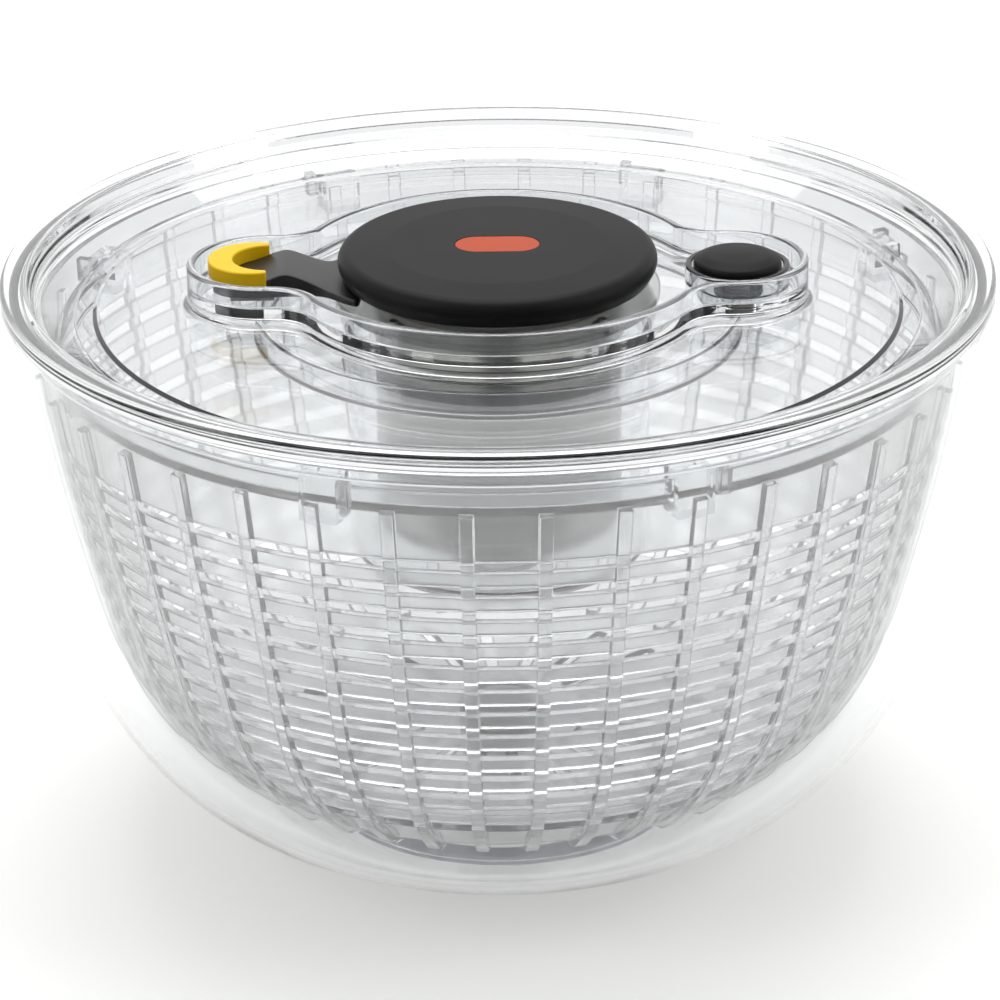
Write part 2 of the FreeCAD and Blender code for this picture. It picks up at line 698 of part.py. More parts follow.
def screws(name, low, grip, place, count, turn):
    """Round-headed screws, head down, on a circle about the axis."""
    part = body(name)
    head = sketch(part, "XY_Plane", lift=low - screw_head_height, turn=turn)
    circle(head, screw_head_radius, place)
    heads = raised(part, head, screw_head_height)
    round_table(part, heads, count)
    shank = sketch(part, "XY_Plane", lift=low, turn=turn)
    circle(shank, screw_radius, place)
    round_table(part, raised(part, shank, grip), count)
    return part


screws("housing_screws", flange_bottom, housing_flange_thickness + screw_grip, housing_screw_circle,
       as_size(4), as_size(45))

bush_bore = derived("bush_bore", rod_radius + rod_fit)
bush_top = derived("bush_top", housing_floor_top + bush_lip)
rod_bush = body("rod_bush")
turned(rod_bush, [
    (bush_bore, housing_bottom), (bush_radius, housing_bottom), (bush_radius, housing_floor_top),
    (bush_radius + bush_lip, housing_floor_top), (bush_radius + bush_lip, bush_top),
    (bush_bore, bush_top)])

# ---------------------------------------------------------------- plunger: knob, tube and nut

knob_bottom = derived("knob_bottom", plateau_top + knob_gap)
knob_top = derived("knob_top", knob_bottom + knob_height)
knob_inside_top = derived("knob_inside_top", knob_top - knob_shell)
nut_top = derived("nut_top", tube_bottom + nut_height)
tube_inner = derived("tube_inner", tube_radius - tube_wall)

knob_grip = body("knob_grip")
turned(knob_grip, [
    (0, knob_inside_top), (core_radius, knob_inside_top), (core_radius, knob_bottom),
    (knob_radius, knob_bottom), (knob_radius, knob_top), (0, knob_top)])
rounded(knob_grip, knob_edge_round, (knob_radius, knob_top))
rounded(knob_grip, knob_foot_round, (knob_radius, knob_bottom))


def inlay_points():
    """A pill lying across the middle of the knob."""
    end = inlay_width / 2
    straight = (inlay_length - inlay_width) / 2
    tip = straight + end
    return [
        (-straight, -end, end), (straight, -end), (tip, 0, end), (straight, end, end),
        (-straight, end), (-tip, 0, end)]


inlay_seat = sketch(knob_grip, "XY_Plane", lift=knob_top - inlay_depth)
outline(inlay_seat, inlay_points())
raised(knob_grip, inlay_seat, inlay_depth, cut=True)

knob_inlay = body("knob_inlay")
inlay = sketch(knob_inlay, "XY_Plane", lift=knob_top - inlay_depth)
outline(inlay, inlay_points())
raised(knob_inlay, inlay, inlay_depth)

knob_core = body("knob_core")
turned(knob_core, [
    (0, core_bottom), (core_radius, core_bottom), (core_radius, knob_inside_top), (0, knob_inside_top)])
rounded(knob_core, core_round, (core_radius, core_bottom))
core_hole = sketch(knob_core, "XY_Plane", lift=core_bottom)
circle(core_hole, screw_radius, knob_screw_circle)
round_table(knob_core, raised(knob_core, core_hole, screw_grip, cut=True), knob_screw_count)

plunger_tube = body("plunger_tube")
tube_cap_under = derived("tube_cap_under", core_bottom - tube_wall)
turned(plunger_tube, [
    (rod_tip_radius, tube_cap_under), (tube_inner, tube_cap_under), (tube_inner, tube_bottom),
    (tube_radius, tube_bottom), (tube_radius, core_bottom), (rod_tip_radius, core_bottom)])
tube_hole = sketch(plunger_tube, "XY_Plane", lift=tube_cap_under)
circle(tube_hole, screw_radius, knob_screw_circle)
round_table(plunger_tube, raised(plunger_tube, tube_hole, tube_wall, cut=True), knob_screw_count)

screws("knob_screws", tube_cap_under, tube_wall + screw_grip, knob_screw_circle, knob_screw_count,
       as_size(0))

# ---------------------------------------------------------------- spiral rod and what turns with it

cup_floor_top = derived("cup_floor_top", housing_bottom - disc_cup_drop)
disc_cup_bottom = derived("disc_cup_bottom", cup_floor_top - disc_wall)
rod_top = derived("rod_top", tube_cap_under - rod_end_gap)
fin_start = derived("fin_start", bush_top + rod_end_gap)
ratchet_top = derived("ratchet_top", cup_floor_top + ratchet_height)
washer_bottom = derived("washer_bottom", disc_cup_bottom - rod_end_gap - washer_thickness)
collar_bottom = derived("collar_bottom", ratchet_top + rod_end_gap)


def fin_section(part, clearance):
    """One fin's upright section, run up a helix, and its twin on the other side of the rod."""
    item = sketch(part)
    inner = rod_core_radius / 2
    outline(item, box_points(inner, rod_fin_radius + clearance, fin_start - clearance,
                             fin_start + rod_fin_height + clearance))
    return item


def helical(part, item, height, cut=False):
    kind = "SubtractiveHelix" if cut else "AdditiveHelix"
    feature = part.newObject("PartDesign::" + kind, f"{part.Name}_{kind}")
    feature.Profile = item
    feature.ReferenceAxis = (item, ["V_Axis"])
    feature.Mode = "pitch-height-angle"
    feature.setExpression("Pitch", rod_lead.text)
    feature.setExpression("Height", height.text)
    feature.Growth = 0
    feature.Angle = 0
    return feature


spiral_rod = body("spiral_rod")
turned(spiral_rod, [
    (screw_radius, washer_bottom), (rod_journal_radius, washer_bottom),
    (rod_journal_radius, collar_bottom), (rod_radius, collar_bottom), (rod_radius, bush_top),
    (rod_core_radius, bush_top), (rod_core_radius, rod_top), (0, rod_top),
    (0, washer_bottom + rod_screw_depth), (screw_radius, washer_bottom + rod_screw_depth)])
fin_height = derived("fin_height", rod_top - fin_start - rod_fin_height)
fin = helical(spiral_rod, fin_section(spiral_rod, as_size(0)), fin_height)
round_table(spiral_rod, fin, as_size(2))

drive_nut = body("drive_nut")
turned(drive_nut, box_points(rod_core_radius + nut_clearance, tube_inner, tube_bottom, nut_top))
nut_cut_height = nut_top + stroke - fin_start
groove = helical(drive_nut, fin_section(drive_nut, nut_clearance), nut_cut_height, cut=True)
round_table(drive_nut, groove, as_size(2))

ratchet_driver = body("ratchet_driver")
driver = sketch(ratchet_driver, "XY_Plane", lift=cup_floor_top + ratchet_gap)
circle(driver, ratchet_root_radius - ratchet_depth - ratchet_gap - ratchet_depth)
circle(driver, rod_journal_radius)
raised(ratchet_driver, driver, ratchet_height - ratchet_gap)
pawl = sketch(ratchet_driver, "XY_Plane", lift=cup_floor_top + ratchet_gap)
outline(pawl, box_points(rod_radius, ratchet_root_radius - ratchet_depth - ratchet_gap,
                         -pawl_width / 2, pawl_width / 2))
round_table(ratchet_driver, raised(ratchet_driver, pawl, ratchet_height - ratchet_gap), pawl_count)

ratchet_ring = body("ratchet_ring")
teeth_ring = sketch(ratchet_ring, "XY_Plane", lift=cup_floor_top)
circle(teeth_ring, ratchet_radius)
circle(teeth_ring, ratchet_root_radius)
raised(ratchet_ring, teeth_ring, ratchet_height)
tooth = sketch(ratchet_ring, "XY_Plane", lift=cup_floor_top)
outline(tooth, [
    (ratchet_root_radius - ratchet_depth, -ratchet_depth / 4),
    (ratchet_root_radius + ratchet_depth, -ratchet_depth / 4),
    (ratchet_root_radius + ratchet_depth, ratchet_depth),
    (ratchet_root_radius, ratchet_depth)])
round_table(ratchet_ring, raised(ratchet_ring, tooth, ratchet_height), ratchet_teeth)

rod_washer = body("rod_washer")
washer = sketch(rod_washer, "XY_Plane", lift=washer_bottom)
circle(washer, washer_radius)
circle(washer, rod_journal_radius)
raised(rod_washer, washer, washer_thickness)

rod_screw = body("rod_screw")
turned(rod_screw, [
    (0, washer_bottom - screw_head_height), (screw_head_radius + screw_radius,
                                             washer_bottom - screw_head_height),
    (screw_head_radius + screw_radius, washer_bottom), (screw_radius, washer_bottom),
    (screw_radius, washer_bottom + rod_screw_depth), (0, washer_bottom + rod_screw_depth)])

# ---------------------------------------------------------------- drive disc and its hub cap

pad_top = derived("pad_top", plateau_under - brake_pad_gap)
pad_bottom = derived("pad_bottom", pad_top - brake_pad_height)
track_radius = derived("track_radius", brake_place - track_inset)
track_top = derived("track_top", pad_bottom - brake_travel - track_gap)
disc_top = derived("disc_top", lid_floor_top - disc_drop)
disc_under = derived("disc_under", disc_top - disc_thickness)
cup_inner = derived("cup_inner", housing_radius + disc_cup_gap)
disc_cup_radius = derived("disc_cup_radius", cup_inner + disc_wall)
track_outer = derived("track_outer", track_radius + track_width / 2)
track_inner = derived("track_inner", track_radius - track_width / 2)
disc_radius = derived("disc_radius", tab_inner - disc_rim_gap)
lug_outer = derived("lug_outer", disc_radius + lug_reach)
hub_bore = derived("hub_bore", rod_journal_radius + rod_fit)

turntable = body("turntable")
turned(turntable, [
    (hub_bore, disc_cup_bottom), (disc_cup_radius, disc_cup_bottom), (disc_cup_radius, disc_under),
    (disc_radius, disc_under), (disc_radius, disc_top + disc_rim_rise),
    (disc_radius - disc_rim_wall, disc_top + disc_rim_rise), (disc_radius - disc_rim_wall, disc_top),
    (track_outer, disc_top), (track_outer, track_top), (track_inner, track_top),
    (track_inner, disc_top), (cup_inner, disc_top), (cup_inner, cup_floor_top),
    (hub_bore, cup_floor_top)])
rounded(turntable, cup_round, (disc_cup_radius, disc_cup_bottom))
lug = sketch(turntable, "XY_Plane", lift=disc_under - lug_drop, turn=lug_turn)
outline(lug, box_points(disc_radius - lug_depth, lug_outer, -lug_width / 2, lug_width / 2))
round_table(turntable, raised(turntable, lug, lug_drop + disc_thickness + lug_rise), lug_count)

hub_cap = body("hub_cap")
hub_cap_bottom = derived("hub_cap_bottom", disc_cup_bottom - hub_cap_depth)
turned(hub_cap, [
    (0, hub_cap_bottom), (hub_cap_radius, hub_cap_bottom), (hub_cap_radius, disc_cup_bottom),
    (hub_cap_radius - hub_cap_wall, disc_cup_bottom),
    (hub_cap_radius - hub_cap_wall, hub_cap_bottom + hub_cap_wall), (0, hub_cap_bottom + hub_cap_wall)])
rounded(hub_cap, hub_cap_wall / 2, (hub_cap_radius, hub_cap_bottom))

# ---------------------------------------------------------------- springs


def spring(name, radius, wire, low, high, turns):
    """A coil of round wire between two heights."""
    part = body(name)
    section = sketch(part)
    circle(section, wire / 2, radius, low + wire / 2)
    coil = part.newObject("PartDesign::AdditiveHelix", name + "_coil")
    coil.Profile = section
    coil.ReferenceAxis = (section, ["V_Axis"])
    coil.Mode = "height-turns-angle"
    coil.setExpression("Height", (high - low - wire).text)
    coil.setExpression("Turns", turns.text)
    coil.Growth = 0
    coil.Angle = 0
    return part


spring("main_spring", spring_radius, spring_wire, housing_floor_top + spring_gap,
       tube_bottom - spring_gap, spring_turns)


def at_brake(part):
    """Moves a piece made on the axis to the brake's place."""
    part.setExpression("Placement.Base.x", brake_place.text)
    return part


button_bottom = derived("button_bottom", plateau_top + button_gap)
button_top = derived("button_top", button_bottom + button_height)
button_inside_top = derived("button_inside_top", button_top - button_shell)
at_brake(spring("brake_spring", brake_coil_radius, brake_wire, plateau_top + spring_gap,
                button_inside_top - spring_gap, brake_coil_turns))

# ---------------------------------------------------------------- brake: button, stem and pad

button_crown_radius = button_radius - button_round
button_dome = (button_crown_radius * button_crown_radius + button_crown * button_crown) / (2 * button_crown)
brake_button = at_brake(body("brake_button"))
turned(brake_button, [
    (0, button_inside_top), (button_radius - button_shell, button_inside_top),
    (button_radius - button_shell, button_bottom), (button_radius, button_bottom),
    (button_radius, button_top - button_crown - button_round),
    (button_crown_radius, button_top - button_crown, button_round), (0, button_top, button_dome)])

brake_stem = at_brake(body("brake_stem"))
turned(brake_stem, box_points(as_size(0), brake_stem_radius, pad_top, button_inside_top))

brake_pad = at_brake(body("brake_pad"))
turned(brake_pad, box_points(as_size(0), brake_pad_radius, pad_bottom, pad_top))

# ---------------------------------------------------------------- latch: arm, grip and clip

latch_bottom = derived("latch_bottom", plateau_top + latch_lift)
latch_base_top = derived("latch_base_top", latch_bottom + latch_base_height)
latch_nose = derived("latch_nose", core_radius + latch_nose_gap)
latch_plate_outer = derived("latch_plate_outer", latch_nose + latch_plate_depth)
latch_clip_top = derived("latch_clip_top", plateau_under - latch_lift)

latch_arm = body("latch_arm")
base = sketch(latch_arm, "XY_Plane", lift=latch_bottom)
circle(base, latch_base_radius, -latch_place)
raised(latch_arm, base, latch_base_height)
arm = sketch(latch_arm, "XY_Plane", lift=latch_bottom)
half_plate = latch_plate_width / 2
half_arm = latch_arm_width / 2
nose_x = -root(latch_nose * latch_nose - half_plate * half_plate)
plate_x = -root(latch_plate_outer * latch_plate_outer - half_plate * half_plate)
arm_x = -root(latch_plate_outer * latch_plate_outer - half_arm * half_arm)
outline(arm, [
    (-latch_place, half_arm), (-latch_place, -half_arm), (arm_x, -half_arm),
    (plate_x, -half_plate, latch_plate_outer), (nose_x, -half_plate),
    (nose_x, half_plate, -latch_nose), (plate_x, half_plate), (arm_x, half_arm, latch_plate_outer)])
raised(latch_arm, arm, latch_arm_height)
stem = sketch(latch_arm, "XY_Plane", lift=latch_clip_top - latch_clip_thickness)
outline(stem, box_points(-latch_place - latch_stem_size / 2, -latch_place + latch_stem_size / 2,
                         -latch_stem_size / 2, latch_stem_size / 2))
raised(latch_arm, stem, latch_bottom - latch_clip_top + latch_clip_thickness)

latch_clip = body("latch_clip")
clip = sketch(latch_clip, "XY_Plane", lift=latch_clip_top - latch_clip_thickness)
outline(clip, box_points(-latch_place - latch_stem_size, -latch_place + latch_stem_size,
                         -latch_stem_size, latch_stem_size))
outline(clip, box_points(-latch_place - latch_stem_size / 2, -latch_place + latch_stem_size / 2,
                         -latch_stem_size / 2, latch_stem_size / 2))
raised(latch_clip, clip, latch_clip_thickness)

latch_grip = body("latch_grip")
grip = sketch(latch_grip, "XY_Plane", lift=latch_base_top)
open_y = root(grip_radius * grip_radius - grip_open * grip_open)
grip_inner = grip_radius - grip_band
inner_y = root(grip_inner * grip_inner - grip_inner_open * grip_inner_open)
outline(grip, [
    (grip_open - latch_place, open_y), (-latch_place, grip_radius, grip_radius),
    (-latch_place - grip_radius, 0, grip_radius), (-latch_place, -grip_radius, grip_radius),
    (grip_open - latch_place, -open_y, grip_radius), (grip_inner_open - latch_place, -inner_y),
    (-latch_place, -grip_inner, -grip_inner), (-latch_place - grip_inner, 0, -grip_inner),
    (-latch_place, grip_inner, -grip_inner), (grip_inner_open - latch_place, inner_y, -grip_inner)])
raised(latch_grip, grip, grip_height)

# ---------------------------------------------------------------- check and write

basket.setExpression("Placement.Rotation.Angle", basket_turn.text)
doc.recompute()
os.makedirs("parts", exist_ok=True)
for item in doc.Objects:
    if "Invalid" in item.State or "Error" in item.State:
        raise RuntimeError(f"{item.Name} failed: {item.State}")
parts = [item for item in doc.Objects if item.TypeId == "PartDesign::Body"]
for item in parts:
    if item.Shape.isNull() or not item.Shape.isValid():
        raise RuntimeError(f"{item.Label} has no valid shape")
for item in parts:
    item.Shape.exportStep(f"parts/{item.Label}.step")
    print(f"{item.Label}: {len(item.Shape.Solids)} solids, {item.Shape.Volume:.0f} mm3")
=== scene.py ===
import math

import bmesh
import bpy
from mathutils import Matrix, Vector


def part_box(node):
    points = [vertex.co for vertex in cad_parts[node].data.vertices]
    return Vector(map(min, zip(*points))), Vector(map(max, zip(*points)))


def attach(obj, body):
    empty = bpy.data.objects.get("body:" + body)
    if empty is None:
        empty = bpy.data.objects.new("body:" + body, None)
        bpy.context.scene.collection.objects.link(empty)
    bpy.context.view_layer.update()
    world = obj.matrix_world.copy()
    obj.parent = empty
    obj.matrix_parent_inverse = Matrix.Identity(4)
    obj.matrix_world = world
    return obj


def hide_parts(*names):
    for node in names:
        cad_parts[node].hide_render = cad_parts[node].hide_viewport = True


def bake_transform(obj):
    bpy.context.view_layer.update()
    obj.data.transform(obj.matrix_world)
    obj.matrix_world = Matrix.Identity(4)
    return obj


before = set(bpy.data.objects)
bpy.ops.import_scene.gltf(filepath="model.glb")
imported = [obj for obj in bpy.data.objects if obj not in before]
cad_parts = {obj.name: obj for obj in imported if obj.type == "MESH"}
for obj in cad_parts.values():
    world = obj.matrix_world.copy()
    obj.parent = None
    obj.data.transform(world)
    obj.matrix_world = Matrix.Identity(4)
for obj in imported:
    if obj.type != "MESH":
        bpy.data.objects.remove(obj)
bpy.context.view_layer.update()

MM = 0.001

# ------------------------------------------------------------------ camera
# The spinner is seen from in front and a little above, from about 1.2 m, as if on a kitchen worktop.

CAMERA_DISTANCE = 1.2
CAMERA_HEIGHT_ANGLE = math.radians(23.62)
CAMERA_ROLL = math.radians(-0.6)
AIM_HEIGHT = 0.0901
LENS = 156.3

camera_data = bpy.data.cameras.new("camera")
camera_data.lens = LENS
camera_data.sensor_width = 36
camera_data.clip_end = 20
camera = bpy.data.objects.new("camera", camera_data)
back = Vector((0, -math.cos(CAMERA_HEIGHT_ANGLE), math.sin(CAMERA_HEIGHT_ANGLE)))
camera.location = Vector((0, 0, AIM_HEIGHT)) + back * CAMERA_DISTANCE
facing = back.to_track_quat("Z", "Y").to_matrix().to_4x4()
camera.matrix_world = Matrix.Translation(camera.location) @ facing @ Matrix.Rotation(CAMERA_ROLL, 4, "Z")
bpy.context.scene.collection.objects.link(camera)
bpy.context.scene.camera = camera

# ------------------------------------------------------------------ studio
# A wide pale floor that glows faintly like a light table, large soft panels, and a sky that is white behind
# and grey in front. Clear plastic is drawn by what it reflects and bends, so its edges need that grey.

FLOOR_HALF = 6.0
FLOOR_WHITE = "#DADAD8"
FLOOR_DARKER = "#D8D8D6"
FLOOR_PALER = "#DCDCDA"
SKY_WHITE = "#FFFFFF"
SKY_GREY = "#808286"
SKY_SIDE_SHARE = 0.6
SKY_GREY_AT = -0.9
SKY_WHITE_AT = 0.3
FLOOR_GLOW = 0.62
SKY_STRENGTH = 1.0


def linear(code):
    """An sRGB hex colour as the linear values that a shader takes."""
    parts = [int(code[start:start + 2], 16) / 255 for start in (1, 3, 5)]
    return [*(p / 12.92 if p <= 0.04045 else ((p + 0.055) / 1.055) ** 2.4 for p in parts), 1.0]


def add_node(tree, kind, inputs=None, **settings):
    """One shader node with its settings, and its inputs: a value, or the output that feeds it."""
    made = tree.nodes.new(kind)
    for name, value in settings.items():
        setattr(made, name, value)
    for name, value in (inputs or {}).items():
        if isinstance(value, bpy.types.NodeSocket):
            tree.links.new(value, made.inputs[name])
        else:
            made.inputs[name].default_value = value
    return made


def surface(name, sockets):
    """A new material whose one principled surface has these socket values."""
    material = bpy.data.materials.new(name)
    material.use_nodes = True
    tree = material.node_tree
    tree.nodes.clear()
    shader = add_node(tree, "ShaderNodeBsdfPrincipled", sockets)
    add_node(tree, "ShaderNodeOutputMaterial", {"Surface": shader.outputs[0]})
    return material


def feed(material, socket, source):
    """Joins a node's output to one socket of a material's surface."""
    tree = material.node_tree
    tree.links.new(source, tree.nodes["Principled BSDF"].inputs[socket])


def place(name, mesh, material):
    """A new object from a finished mesh."""
    made = bpy.data.objects.new(name, mesh)
    made.data.materials.append(material)
    bpy.context.scene.collection.objects.link(made)
    return made


world = bpy.data.worlds.new("studio")
bpy.context.scene.world = world
world.use_nodes = True
sky = world.node_tree
sky.nodes.clear()
sky_place = add_node(sky, "ShaderNodeTexCoord")
sky_axes = add_node(sky, "ShaderNodeSeparateXYZ", {"Vector": sky_place.outputs["Generated"]})
sky_side = add_node(sky, "ShaderNodeMath", operation="ABSOLUTE")
sky.links.new(sky_axes.outputs["X"], sky_side.inputs[0])
sky_back = add_node(sky, "ShaderNodeMath", operation="MULTIPLY_ADD")
sky.links.new(sky_side.outputs[0], sky_back.inputs[0])
sky_back.inputs[1].default_value = -SKY_SIDE_SHARE
sky.links.new(sky_axes.outputs["Y"], sky_back.inputs[2])
sky_front = add_node(
    sky, "ShaderNodeMapRange",
    {"Value": sky_back.outputs[0], "From Min": SKY_GREY_AT, "From Max": SKY_WHITE_AT})
sky_ramp = add_node(sky, "ShaderNodeValToRGB", {"Fac": sky_front.outputs[0]})
sky_ramp.color_ramp.elements[0].color = linear(SKY_GREY)
sky_ramp.color_ramp.elements[1].color = linear(SKY_WHITE)
sky_light = add_node(sky, "ShaderNodeBackground", {"Color": sky_ramp.outputs[0], "Strength": SKY_STRENGTH})
add_node(sky, "ShaderNodeOutputWorld", {"Surface": sky_light.outputs[0]})

floor_paint = surface("floor_matte_paint", {
    "Base Color": linear(FLOOR_WHITE), "Roughness": 0.7, "Emission Color": linear(FLOOR_WHITE),
    "Emission Strength": FLOOR_GLOW})
speckle = add_node(floor_paint.node_tree, "ShaderNodeTexNoise", {"Scale": 40.0, "Detail": 4.0})
mottle = add_node(floor_paint.node_tree, "ShaderNodeValToRGB", {"Fac": speckle.outputs["Fac"]})
mottle.color_ramp.elements[0].color = linear(FLOOR_DARKER)
mottle.color_ramp.elements[1].color = linear(FLOOR_PALER)
feed(floor_paint, "Base Color", mottle.outputs[0])
floor_mesh = bpy.data.meshes.new("floor")
floor_mesh.from_pydata(
    [(x * FLOOR_HALF, y * FLOOR_HALF, 0) for x, y in ((-1, -1), (1, -1), (1, 1), (-1, 1))], [],
    [(0, 1, 2, 3)])
floor = place("floor", floor_mesh, floor_paint)


def panel(name, centre, aim, width, height, strength):
    """A soft light panel: an area lamp that faces a point."""
    lamp = bpy.data.lights.new(name, "AREA")
    lamp.shape = "RECTANGLE"
    lamp.size = width
    lamp.size_y = height
    lamp.energy = strength
    made = bpy.data.objects.new(name, lamp)
    away = (Vector(centre) - Vector(aim)).to_track_quat("Z", "Y").to_matrix().to_4x4()
    made.matrix_world = Matrix.Translation(centre) @ away
    bpy.context.scene.collection.objects.link(made)
    return made


panel("panel_top", (0, 0.35, 1.3), (0, 0, 0.12), 1.1, 0.8, 9)
panel("panel_left", (-1.1, -0.5, 0.7), (0, 0, 0.1), 0.5, 0.9, 4)
panel("panel_right", (1.1, -0.3, 0.7), (0, 0, 0.1), 0.5, 0.9, 4)

settings = bpy.context.scene
settings.view_settings.view_transform = "Standard"
settings.cycles.max_bounces = 20
settings.cycles.transmission_bounces = 20
settings.cycles.glossy_bounces = 8
settings.cycles.transparent_max_bounces = 24
settings.cycles.sample_clamp_indirect = 6

# ------------------------------------------------------------------ bowl
# The bowl is moulded in clear styrene acrylonitrile: a flat floor, a tight heel, a rounded side and an
# almost upright wall, 2.5 mm thick. A short pin stands in its middle and carries the basket.

LATHE_STEPS = 240
BOWL_FLOOR = 53.5
BOWL_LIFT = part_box("bowl")[0].z / MM
BOWL_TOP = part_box("bowl")[1].z / MM
BOWL_HEEL = (46, 68)
BOWL_SIDE = (80, 14.9)
BOWL_UPPER = 400
BOWL_WALL = 2.5
PIN_RADIUS = 6
PIN_TOP = 24
FOOT_INNER = 44
FOOT_OUTER = 52
FOOT_SEAT = BOWL_LIFT + 1
SAN_CLEAR = "#F9FAFB"
SAN_INDEX = 1.57


class CurvedWall:
    """The outside line of a turned wall: flat floor, heel, side and upper arcs, each tangent to the next."""

    def __init__(self, floor, lift, heel, side, upper):
        self.floor = floor
        self.lift = lift
        self.radii = (heel[0], side[0], upper)
        self.turns = [math.radians(angle) for angle in (90, heel[1], side[1])]
        centres = [Vector((floor, lift + heel[0]))]
        for number in (1, 2):
            step = self.radii[number - 1] - self.radii[number]
            centres.append(centres[-1] + step * self.heading(self.turns[number]))
        self.centres = centres

    @staticmethod
    def heading(turn):
        return Vector((math.cos(turn), -math.sin(turn)))

    def at(self, arc, turn, offset=0):
        """The point of one arc at an angle below level, with an offset outward."""
        return self.centres[arc] + (self.radii[arc] + offset) * self.heading(turn)

    def at_height(self, height):
        """The arc and angle where the outside line crosses a height."""
        for arc in (2, 1, 0):
            sine = (self.centres[arc].y - height) / self.radii[arc]
            turn = math.asin(max(-1, min(1, sine)))
            if arc == 0 or turn <= self.turns[arc] + 1e-9:
                return arc, turn
        return 0, self.turns[0]

    def stations(self, top, counts):
        """(arc, angle) pairs from the edge of the floor up to the top, so many on each arc."""
        ends = [*self.turns[1:], self.at_height(top)[1]]
        pairs = []
        for arc, (start, end, count) in enumerate(zip(self.turns, ends, counts)):
            for step in range(count + (arc == 2)):
                pairs.append((arc, start + (end - start) * step / count))
        return pairs

    def line(self, top, offset, counts=(12, 14, 10)):
        return [self.at(arc, turn, offset) for arc, turn in self.stations(top, counts)]


def softened(points, steps=5):
    """An outline whose corners are rounded where a point gives a radius as its third value."""
    count = len(points)
    made = []
    for index, point in enumerate(points):
        here = Vector(point[:2])
        if len(point) == 2 or point[2] == 0:
            made.append(here)
            continue
        before = (Vector(points[index - 1][:2]) - here).normalized()
        after = (Vector(points[(index + 1) % count][:2]) - here).normalized()
        half = math.acos(max(-1, min(1, before.dot(after)))) / 2
        run = point[2] / math.tan(half)
        centre = here + (before + after).normalized() * (point[2] / math.sin(half))
        first = here + before * run - centre
        last = here + after * run - centre
        sweep = first.angle_signed(last)
        for step in range(steps + 1):
            turn = -sweep * step / steps
            made.append(centre + Matrix.Rotation(turn, 2) @ first)
    return made


def smooth(made, angle=40):
    """Smooth shading, with edges kept crisp past an angle and broad faces kept flat."""
    made.data.shade_smooth()
    made.data.set_sharp_from_angle(angle=math.radians(angle))
    flat = made.modifiers.new("weighted", "WEIGHTED_NORMAL")
    flat.keep_sharp = True
    return made


def finished(mesh, name):
    """The mesh data of a shape that is built, with every face turned outward."""
    bmesh.ops.recalc_face_normals(mesh, faces=mesh.faces)
    data = bpy.data.meshes.new(name)
    mesh.to_mesh(data)
    mesh.free()
    return data


def lathe_mesh(name, outline, steps=LATHE_STEPS, centre=(0, 0)):
    """A closed solid turned about the upright axis from a closed outline of (radius, height) in mm."""
    mesh = bmesh.new()
    rings = []
    for radius, height in outline:
        if radius < 1e-6:
            rings.append([mesh.verts.new((centre[0] * MM, centre[1] * MM, height * MM))])
            continue
        ring = []
        for step in range(steps):
            turn = 2 * math.pi * step / steps
            x = centre[0] + radius * math.cos(turn)
            y = centre[1] + radius * math.sin(turn)
            ring.append(mesh.verts.new((x * MM, y * MM, height * MM)))
        rings.append(ring)
    for index, ring in enumerate(rings):
        other = rings[(index + 1) % len(rings)]
        if len(ring) == 1 and len(other) == 1:
            continue
        for step in range(steps):
            after = (step + 1) % steps
            corners = [ring[step % len(ring)], ring[after % len(ring)],
                       other[after % len(other)], other[step % len(other)]]
            unique = list(dict.fromkeys(corners))
            mesh.faces.new(unique)
    return finished(mesh, name)


def turned(name, outline, material, steps=LATHE_STEPS, centre=(0, 0)):
    return smooth(place(name, lathe_mesh(name, outline, steps, centre), material))


def grain(material, size, detail=2.0, blend=0.5):
    """A noise all over a piece, with patches of a real size in millimetres. Returns its value."""
    where = add_node(material.node_tree, "ShaderNodeTexCoord")
    noise = add_node(material.node_tree, "ShaderNodeTexNoise", {
        "Vector": where.outputs["Object"], "Scale": 1 / (size * MM), "Detail": detail, "Roughness": blend})
    return noise.outputs["Fac"]


def texture_skin(material, size, height, strength, detail=2.0, blend=0.5):
    """A moulded skin that is lifted by a grain: its size and height are in millimetres."""
    bump = add_node(material.node_tree, "ShaderNodeBump", {
        "Height": grain(material, size, detail, blend), "Strength": strength, "Distance": height * MM})
    feed(material, "Normal", bump.outputs[0])


# Clear SAN is glossy and faintly cool. Its walls are never quite flat: slow flow waves bend what shows
# through, so a noise with a 45 mm grain lifts the surface a little.
san = surface("san_clear_moulded", {
    "Base Color": linear(SAN_CLEAR), "Roughness": 0.02, "IOR": SAN_INDEX, "Transmission Weight": 1.0})
texture_skin(san, 45, 0.6, 0.12, 1.0, 0.3)

bowl_wall = CurvedWall(BOWL_FLOOR, BOWL_LIFT, BOWL_HEEL, BOWL_SIDE, BOWL_UPPER)
outside = [tuple(point) for point in bowl_wall.line(BOWL_TOP, 0)]
inside = [tuple(point) for point in reversed(bowl_wall.line(BOWL_TOP, -BOWL_WALL))]
outside[-1] += (0.9,)
inside[0] += (0.9,)
bowl_outline = softened([
    (0, BOWL_LIFT), (FOOT_INNER, BOWL_LIFT, 0.2), (FOOT_INNER, FOOT_SEAT), (FOOT_OUTER, FOOT_SEAT),
    (FOOT_OUTER, BOWL_LIFT, 0.2), *outside, *inside,
    (PIN_RADIUS, BOWL_LIFT + BOWL_WALL, 1.5), (PIN_RADIUS, PIN_TOP, 1.2), (0, PIN_TOP)])
bowl = turned("bowl_shell", bowl_outline, san)
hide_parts("bowl")
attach(bowl, "bowl")

# ------------------------------------------------------------------ foot ring
# A soft ring of translucent thermoplastic rubber under the bowl stops it sliding. It sits in a groove.

TPE_GREY = "#AEB6C2"
FOOT_GAP = 0.1

